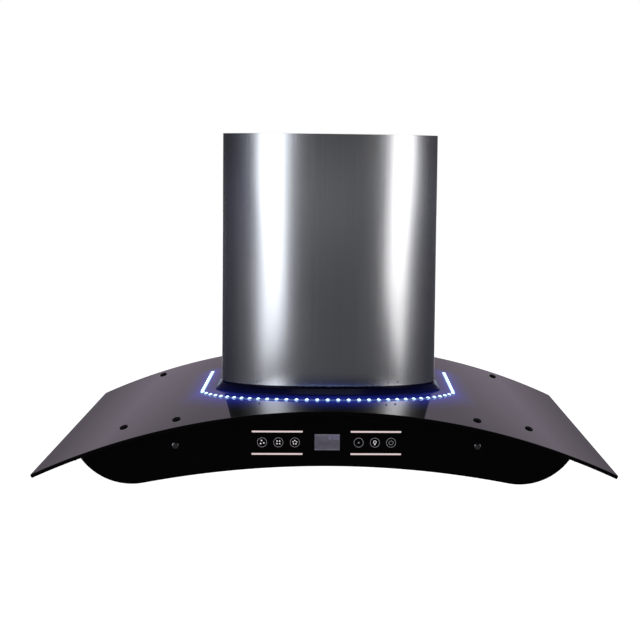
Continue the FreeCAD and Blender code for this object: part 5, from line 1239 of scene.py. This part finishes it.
class HOOD_OT_touch_controls(bpy.types.Operator):
    """Sets the display window and the lit bars flush in the fascia, and prints the six touch marks"""
    bl_idname = "hood.touch_controls"
    bl_label = "Touch controls"

    def execute(self, context):
        front, back = WINDOW_LOW.y, WINDOW_HIGH.y
        outline = rectangle(WINDOW_LOW.x, WINDOW_LOW.z, WINDOW_HIGH.x, WINDOW_HIGH.z, 0.8 * MM)
        new_piece("display_cover", plate([outline], front, back, 0.2 * MM), "display_glass", "display_window")
        self.clock(WINDOW_HIGH.z - 1.6 * MM)
        outlines = [rectangle(*bar, corner=0.9 * MM) for bar in bar_boxes()]
        new_piece("lit_bars", plate(outlines, front, back, 0.2 * MM), "lit_bar", "light_bars")
        self.marks()
        return {"FINISHED"}

    def clock(self, top):
        """A resting clock of four seven-segment digits in the window's upper right corner."""
        tall, wide, stroke = 6 * MM, 3.3 * MM, 0.65 * MM
        end_gap, middle_gap = 0.8 * MM, 0.45 * MM
        lit = {"0": "abcdef", "1": "bc", "2": "abdeg"}
        outlines = []
        for left, digit in zip((-1.5 * MM, 3.3 * MM, 9.6 * MM, 14.4 * MM), "1200"):
            right, base, middle = left + wide, top - tall, top - tall / 2
            upper, lower = (middle + middle_gap, top - end_gap), (base + end_gap, middle - middle_gap)
            bars = {
                "a": (left, top - stroke, right, top), "d": (left, base, right, base + stroke),
                "g": (left, middle - stroke / 2, right, middle + stroke / 2),
                "f": (left, upper[0], left + stroke, upper[1]), "b": (right - stroke, upper[0], right, upper[1]),
                "e": (left, lower[0], left + stroke, lower[1]), "c": (right - stroke, lower[0], right, lower[1])}
            outlines += [rectangle(*bars[segment]) for segment in lit[digit]]
        outlines += [circle(8.1 * MM, top - tall * share, 0.45 * MM, 12) for share in (0.3, 0.7)]
        self.printed("clock_digits", outlines, "clock_light")

    def marks(self):
        """Six rings: three, four and five dots for the fan's speeds, then a clock, a lamp and a switch."""
        z = -312 * MM
        places = [x * MM for x in (-100.1, -75, -49.7, 48.5, 73.5, 98.5)]
        timer, lamp, switch = places[3:]
        rings = [outline for x in places for outline in ring(x, z, 7.4 * MM, 0.5 * MM)]
        open_ring = arc((switch, z), 3.6 * MM, 125, 415, 28) + arc((switch, z), 3 * MM, 415, 125, 28)
        bar = rectangle(switch - 0.3 * MM, z + 1.2 * MM, switch + 0.3 * MM, z + 4.2 * MM)
        self.printed("touch_rings", [*rings, circle(timer, z, 1.1 * MM), open_ring, bar], "printed_ink")
        dots = []
        # How many dots, the first one's angle, and their distance and radius in millimetres
        speeds = ((3, 103, 2.9, 1.1), (4, 45, 2.8, 1), (5, 90, 2.9, 0.95))
        for x, (count, first, reach, radius) in zip(places, speeds):
            for index in range(count):
                turn = math.radians(first + 360 * index / count)
                dots.append(circle(x + reach * MM * math.cos(turn), z + reach * MM * math.sin(turn),
                                   radius * MM, 16))
        dots += ring(lamp, z + 0.8 * MM, 2.5 * MM, 0.75 * MM)
        dots.append(rectangle(lamp - 0.9 * MM, z - 3.7 * MM, lamp + 0.9 * MM, z - 2.3 * MM))
        self.printed("touch_glyphs", dots, "bright_ink")

    def printed(self, name, outlines, ink):
        """Outlines printed on the fascia's face."""
        front, film = WINDOW_LOW.y, 0.12 * MM
        new_piece(name, plate(outlines, front - film, front, film / 3, 0), "display_glass", finish=ink)


class HOOD_OT_steel_body(bpy.types.Operator):
    """Bends and cuts the black steel body under the glass: skin, front, back, side walls and deck"""
    bl_idname = "hood.steel_body"
    bl_label = "Steel body"

    def execute(self, context):
        opening = (-120 * MM, -320 * MM, 120 * MM, -30 * MM)
        mesh = arched_sheet(*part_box("body_top"), -6.3 * MM, 1.5 * MM, opening, 0.3 * MM, hem=4 * MM)
        new_piece("body_top_skin", mesh, "black_steel", "body_top")
        middle = (WINDOW_LOW.z + WINDOW_HIGH.z) / 2
        wide, tall = 125 * MM, 20 * MM
        holes = [rectangle(-wide, middle - tall, wide, middle + tall, 3 * MM), *bolt_holes()[0]]
        for node, cuts in (("body_front", holes), ("body_back", [])):
            low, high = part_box(node)
            mesh = plate([lobed_outline(-8.1 * MM, 2 * MM, high.x), *cuts], low.y, high.y, 0.2 * MM)
            new_piece(node + "_panel", mesh, "black_steel", node)
        for side, sign in SIDES:
            self.side_wall(f"side_wall_{side}", sign)
        dress("filter_deck", "black_steel")
        dress("hinge_brackets", "black_steel")
        return {"FINISHED"}

    def side_wall(self, node, sign):
        """One sheet: down the side, round the lobe and a little way in, its thickness inside the outline."""
        low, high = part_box(node)
        inset, turned_in, sheet = 2 * MM, 10 * MM, 1 * MM
        lobe_x, lobe_z = sizes().lobe_x, FASCIA_LOW.z + sizes().lobe_radius
        radius = sizes().lobe_radius - inset
        half = max(abs(low.x), abs(high.x))
        end = math.asin((half - lobe_x) / radius)
        lip = math.degrees(math.asin(turned_in / radius))
        path = [(half, high.z), (half, (high.z + lobe_z - radius * math.cos(end)) / 2)]
        path += arc((lobe_x, lobe_z), radius, 270 + math.degrees(end), 270 - lip, 24)
        rows = [[Vector((sign * x, y, z)) for x, z in path] for y in (low.y, high.y)]
        new_piece(f"{node}_sheet", softened(grid(rows), 0.2 * MM, 60, 2, sheet, -sign), "black_steel", node)


class HOOD_OT_lamps(bpy.types.Operator):
    """Turns the two lamps in the deck: bezel, pressed lens and cup"""
    bl_idname = "hood.lamps"
    bl_label = "Lamps"

    def execute(self, context):
        # Millimetres from the lamp's axis and up from the deck
        bezel = (
            (23.9, -1.6), (24.6, -1.6), (25.2, -1.25), (31, -1.6), (32.4, -1.45), (33, -0.8), (33, 0), (26.8, 0),
            (26.8, 9), (25.4, 9), (25.4, 0), (23.9, 0))
        for side, _ in SIDES:
            low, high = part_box(f"lamp_{side}_bezel")
            centre = Vector(((low.x + high.x) / 2, (low.y + high.y) / 2, low.z + 1.6 * MM))
            mesh = softened(lathe(bezel, centre, unit=MM), 0.15 * MM, 30)
            new_piece(f"lamp_{side}_ring", mesh, "stainless_fastener", f"lamp_{side}_bezel")
            low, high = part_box(f"lamp_{side}_lens")
            radius, thick = (high.x - low.x) / 2, high.z - low.z
            dome = [(radius * share, thick * (0.5 - 0.5 * share ** 2)) for share in (0, 0.2, 0.4, 0.6, 0.8, 0.95)]
            form = lathe([*dome, (radius, 0), (radius, thick), (0, thick)], Vector((centre.x, centre.y, low.z)))
            new_piece(f"lamp_{side}_pane", softened(form, 0.1 * MM, 40), "lamp_glass", f"lamp_{side}_lens")
            dress(f"lamp_{side}_body", "black_plastic")
        return {"FINISHED"}


class HOOD_OT_filters(bpy.types.Operator):
    """Fills the two grease filters with their rows of baffles, in their frames with hinges and latches"""
    bl_idname = "hood.filters"
    bl_label = "Grease filters"

    def execute(self, context):
        for side, _ in SIDES:
            dress(f"filter_{side}_frame", "aluminium_filter", f"filter_{side}", 0.5)
            dress(f"filter_{side}_latch", "black_plastic", f"latch_{side}", 0.4)
            self.baffles(side)
        return {"FINISHED"}

    def baffles(self, side):
        """Two rows of channels set half a pitch apart, the upper row mouth down."""
        low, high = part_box(f"filter_{side}_baffles")
        count, half, leg, sheet = sizes().baffle_count, 7.5 * MM, 3.2 * MM, 0.8 * MM
        pitch = ((high.x - low.x) - 2 * half) / (count - 1)
        start = low.x + half
        outline = [
            (-half, leg), (-half, 0.35 * leg), (-half + 0.3 * leg, 0), (half - 0.3 * leg, 0), (half, 0.35 * leg),
            (half, leg), (half - sheet, leg), (half - sheet, 0.45 * leg), (half - 0.4 * leg, sheet),
            (-half + 0.4 * leg, sheet), (-half + sheet, 0.45 * leg), (-half + sheet, leg)]
        rows = []
        for up, base, copies, shift in ((1, low.z, count, 0), (-1, high.z, count - 1, pitch / 2)):
            section = [[Vector((x, y, up * z)) for x, z in outline] for y in (low.y, high.y)]
            channel = softened(capped_grid(section), 0.15 * MM, 50)
            rows.append(run_tree(row_tree(), bpy.data.meshes.new("none"), "aluminium_filter", {
                "Count": copies, "Pitch": pitch, "Start": (start + shift, 0.0, base)}, channel))
        new_piece(f"filter_{side}_channels", as_mesh(joined(rows)), "aluminium_filter", f"filter_{side}_baffles",
                  f"filter_{side}")


class HOOD_OT_motor_box(bpy.types.Operator):
    """Dresses the zinc-coated motor box, its wall bracket and the cable gland, their edges rounded"""
    bl_idname = "hood.motor_box"
    bl_label = "Motor box"

    def execute(self, context):
        for node in ("wall_bracket", "plenum_back", "plenum_shell"):
            dress(node, "zinc_steel")
        dress("cable_gland", "black_plastic")
        return {"FINISHED"}


def flange_screws(name, node, centre, aim, places):
    """The small cross-headed screws of a flange, at places measured from its centre."""
    pattern = screw(3.5 * MM, 2 * MM, 1.8 * MM, 7 * MM)
    spots = [(centre + Vector(place), Vector(aim)) for place in places]
    new_piece(name, on_spots(spots, pattern, "stainless_fastener"), "stainless_fastener", node)


class HOOD_OT_blower(bpy.types.Operator):
    """Builds the blower: housing, bladed wheel, motor on its bracket, and capacitor"""
    bl_idname = "hood.blower"
    bl_label = "Blower"

    def execute(self, context):
        for node in ("scroll_wrap", "scroll_side_left", "scroll_side_right", "motor_bracket", "capacitor_clip"):
            dress(node, "zinc_steel", edge=0.2)
        dress("capacitor", "grey_plastic", edge=0.8)
        dress("motor_shaft", "motor_shaft_steel", "impeller_wheel")
        self.wheel()
        self.motor()
        return {"FINISHED"}

    def wheel(self):
        """Middle disc with its hub, an end ring each side, and slanted blades between them."""
        low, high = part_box("impeller")
        centre = (low + high) / 2
        radius, half, rim = (high.z - low.z) / 2, (high.x - low.x) / 2, 3 * MM
        disc = ((4.02, -18), (11, -18), (11, -0.75), (71, -0.75), (71, 0.75), (11, 0.75), (4.02, 0.75))
        rings = [as_mesh(lathe(disc, centre, "X", unit=MM))]
        for _, sign in SIDES:
            face, back = sign * half, sign * (half - rim)
            section = [(radius - rim, face), (radius, face), (radius, back), (radius - rim, back)]
            rings.append(as_mesh(lathe(section, centre, "X")))
        base = softened(joined(rings), 0.2 * MM, 40)
        inner, outer, sheet, slant, inside = 70 * MM, radius - 1.5 * MM, 1 * MM, 5 * MM, 0.2 * MM
        line = [(slant * (share + 0.6 * share * (1 - share)), inner + (outer - inner) * share)
                for share in (0, 0.25, 0.5, 0.75, 1)]
        loop = [(y - sheet / 2, z) for y, z in line] + [(y + sheet / 2, z) for y, z in reversed(line)]
        rows = [[Vector((x, y, z)) for y, z in loop] for x in (-half + inside, half - inside)]
        mesh = run_tree(wheel_tree(), base, "zinc_steel", {
            "Count": sizes().blade_count, "Centre": tuple(centre)}, as_mesh(capped_grid(rows)))
        new_piece("impeller_wheel_blades", mesh, "zinc_steel", "impeller", "impeller_wheel")

    def motor(self):
        """A turned casing with two rounded shoulders, and cooling grooves between them."""
        low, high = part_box("motor")
        centre = Vector((low.x, (low.y + high.y) / 2, (low.z + high.z) / 2))
        radius, length = (high.z - low.z) / 2, high.x - low.x
        bore, nose, shoulder = 4.05 * MM, 18 * MM, 6 * MM
        grooves, depth, brim, floor = 7, 1 * MM, 1.2 * MM, 0.8 * MM
        profile = [(bore, 0), (nose, 0), (nose, shoulder), (radius - shoulder / 2, shoulder),
                   (radius, 2 * shoulder)]
        first, last = 2.4 * shoulder, length - 2.4 * shoulder
        for index in range(grooves):
            at = first + (last - first) * (index + 0.5) / grooves
            profile += [(radius, at - brim), (radius - depth, at - floor), (radius - depth, at + floor),
                        (radius, at + brim)]
        profile += [(radius, length - 2 * shoulder), (radius - shoulder / 2, length - shoulder),
                    (nose, length - shoulder), (nose, length), (bore, length)]
        new_piece("motor_casing", softened(lathe(profile, centre, "X"), 0.3 * MM, 30), "motor_paint", "motor")
        head, reach = 2 * MM, 77 * MM
        axis = Vector((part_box("motor_bracket_screws")[1].x - head, -215 * MM, -155 * MM))
        turns = [math.radians(120 * index) for index in range(3)]
        flange_screws("motor_bracket_screw_heads", "motor_bracket_screws", axis, (1, 0, 0),
                      [(0, -reach * math.sin(turn), reach * math.cos(turn)) for turn in turns])


class HOOD_OT_outlet(bpy.types.Operator):
    """Makes the outlet on top: spigot, its two non-return flaps, their pins and the flange's screws"""
    bl_idname = "hood.outlet"
    bl_label = "Outlet"

    def execute(self, context):
        low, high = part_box("outlet_collar")
        centre = Vector(((low.x + high.x) / 2, (low.y + high.y) / 2, low.z))
        # Millimetres from the spigot's axis and up from the foot of its flange
        profile = (
            (72, 0), (86, 0), (86, 2.2), (85.2, 3), (76.5, 3), (74.5, 5), (74.5, 40), (73.9, 40.6), (73.9, 42.4),
            (74.5, 43), (74.5, 49.2), (73.9, 50), (72.6, 50), (72, 49.2), (72, 12.1), (68, 12.1), (68, 10.6),
            (72, 10.6))
        mesh = softened(lathe(profile, centre, steps=128, unit=MM), 0.2 * MM, 40)
        new_piece("outlet_spigot", mesh, "black_plastic", "outlet_collar")
        for side, _ in SIDES:
            dress(f"damper_flap_{side}", "aluminium_filter", f"flap_{side}", 0.2)
        dress("damper_pins", "stainless_fastener", edge=0.1)
        reach, flange = 80.25 * MM, 3 * MM
        flange_screws("outlet_screw_heads", "outlet_screws", centre, (0, 0, 1), [
            (across * reach, along * reach, flange) for across, along in ((1, 0), (0, 1), (-1, 0), (0, -1))])
        return {"FINISHED"}


class HOOD_OT_electronics(bpy.types.Operator):
    """Fits the touch board, display module, power box with its lid, and lamp driver"""
    bl_idname = "hood.electronics"
    bl_label = "Electronics"

    def execute(self, context):
        for node, slot, edge in (
                ("touch_board", "circuit_board", 0.15), ("display_module", "grey_plastic", 0.3),
                ("power_box", "black_plastic", 0.6), ("power_box_lid", "black_plastic", 0.5),
                ("lamp_driver", "grey_plastic", 0.8)):
            dress(node, slot, edge=edge)
        return {"FINISHED"}


STEPS = (
    HOOD_OT_stage, HOOD_OT_glass_canopy, HOOD_OT_glass_caps, HOOD_OT_chimney_cover, HOOD_OT_chimney_fasteners,
    HOOD_OT_chimney_collar, HOOD_OT_light_line, HOOD_OT_fascia, HOOD_OT_touch_controls, HOOD_OT_steel_body,
    HOOD_OT_lamps, HOOD_OT_filters, HOOD_OT_motor_box, HOOD_OT_blower, HOOD_OT_outlet, HOOD_OT_electronics)


class HOOD_PT_panel(bpy.types.Panel):
    """Lists the hood's sizes and colours, and its parts in the order in which they are made"""
    bl_label = "Range Hood"
    bl_idname = "HOOD_PT_panel"
    bl_space_type = "VIEW_3D"
    bl_region_type = "UI"
    bl_category = "Range Hood"

    def draw(self, context):
        column = self.layout.column()
        for group in (sizes(), colours()):
            for name in group.bl_rna.properties.keys():
                if name not in ("rna_type", "name"):
                    column.prop(group, name)
        for step in STEPS:
            column.operator(step.bl_idname)


CLASSES = (HoodSizes, HoodColours) + STEPS + (HOOD_PT_panel,)


def register():
    for kind in CLASSES:
        bpy.utils.register_class(kind)
    bpy.types.Scene.hood_sizes = PointerProperty(type=HoodSizes)
    bpy.types.Scene.hood_colours = PointerProperty(type=HoodColours)


def unregister():
    del bpy.types.Scene.hood_colours
    del bpy.types.Scene.hood_sizes
    for kind in reversed(CLASSES):
        bpy.utils.unregister_class(kind)


def main():
    register()
    for step in STEPS:
        getattr(bpy.ops.hood, step.bl_idname.split(".")[1])()


if __name__ == "__main__":
    main()
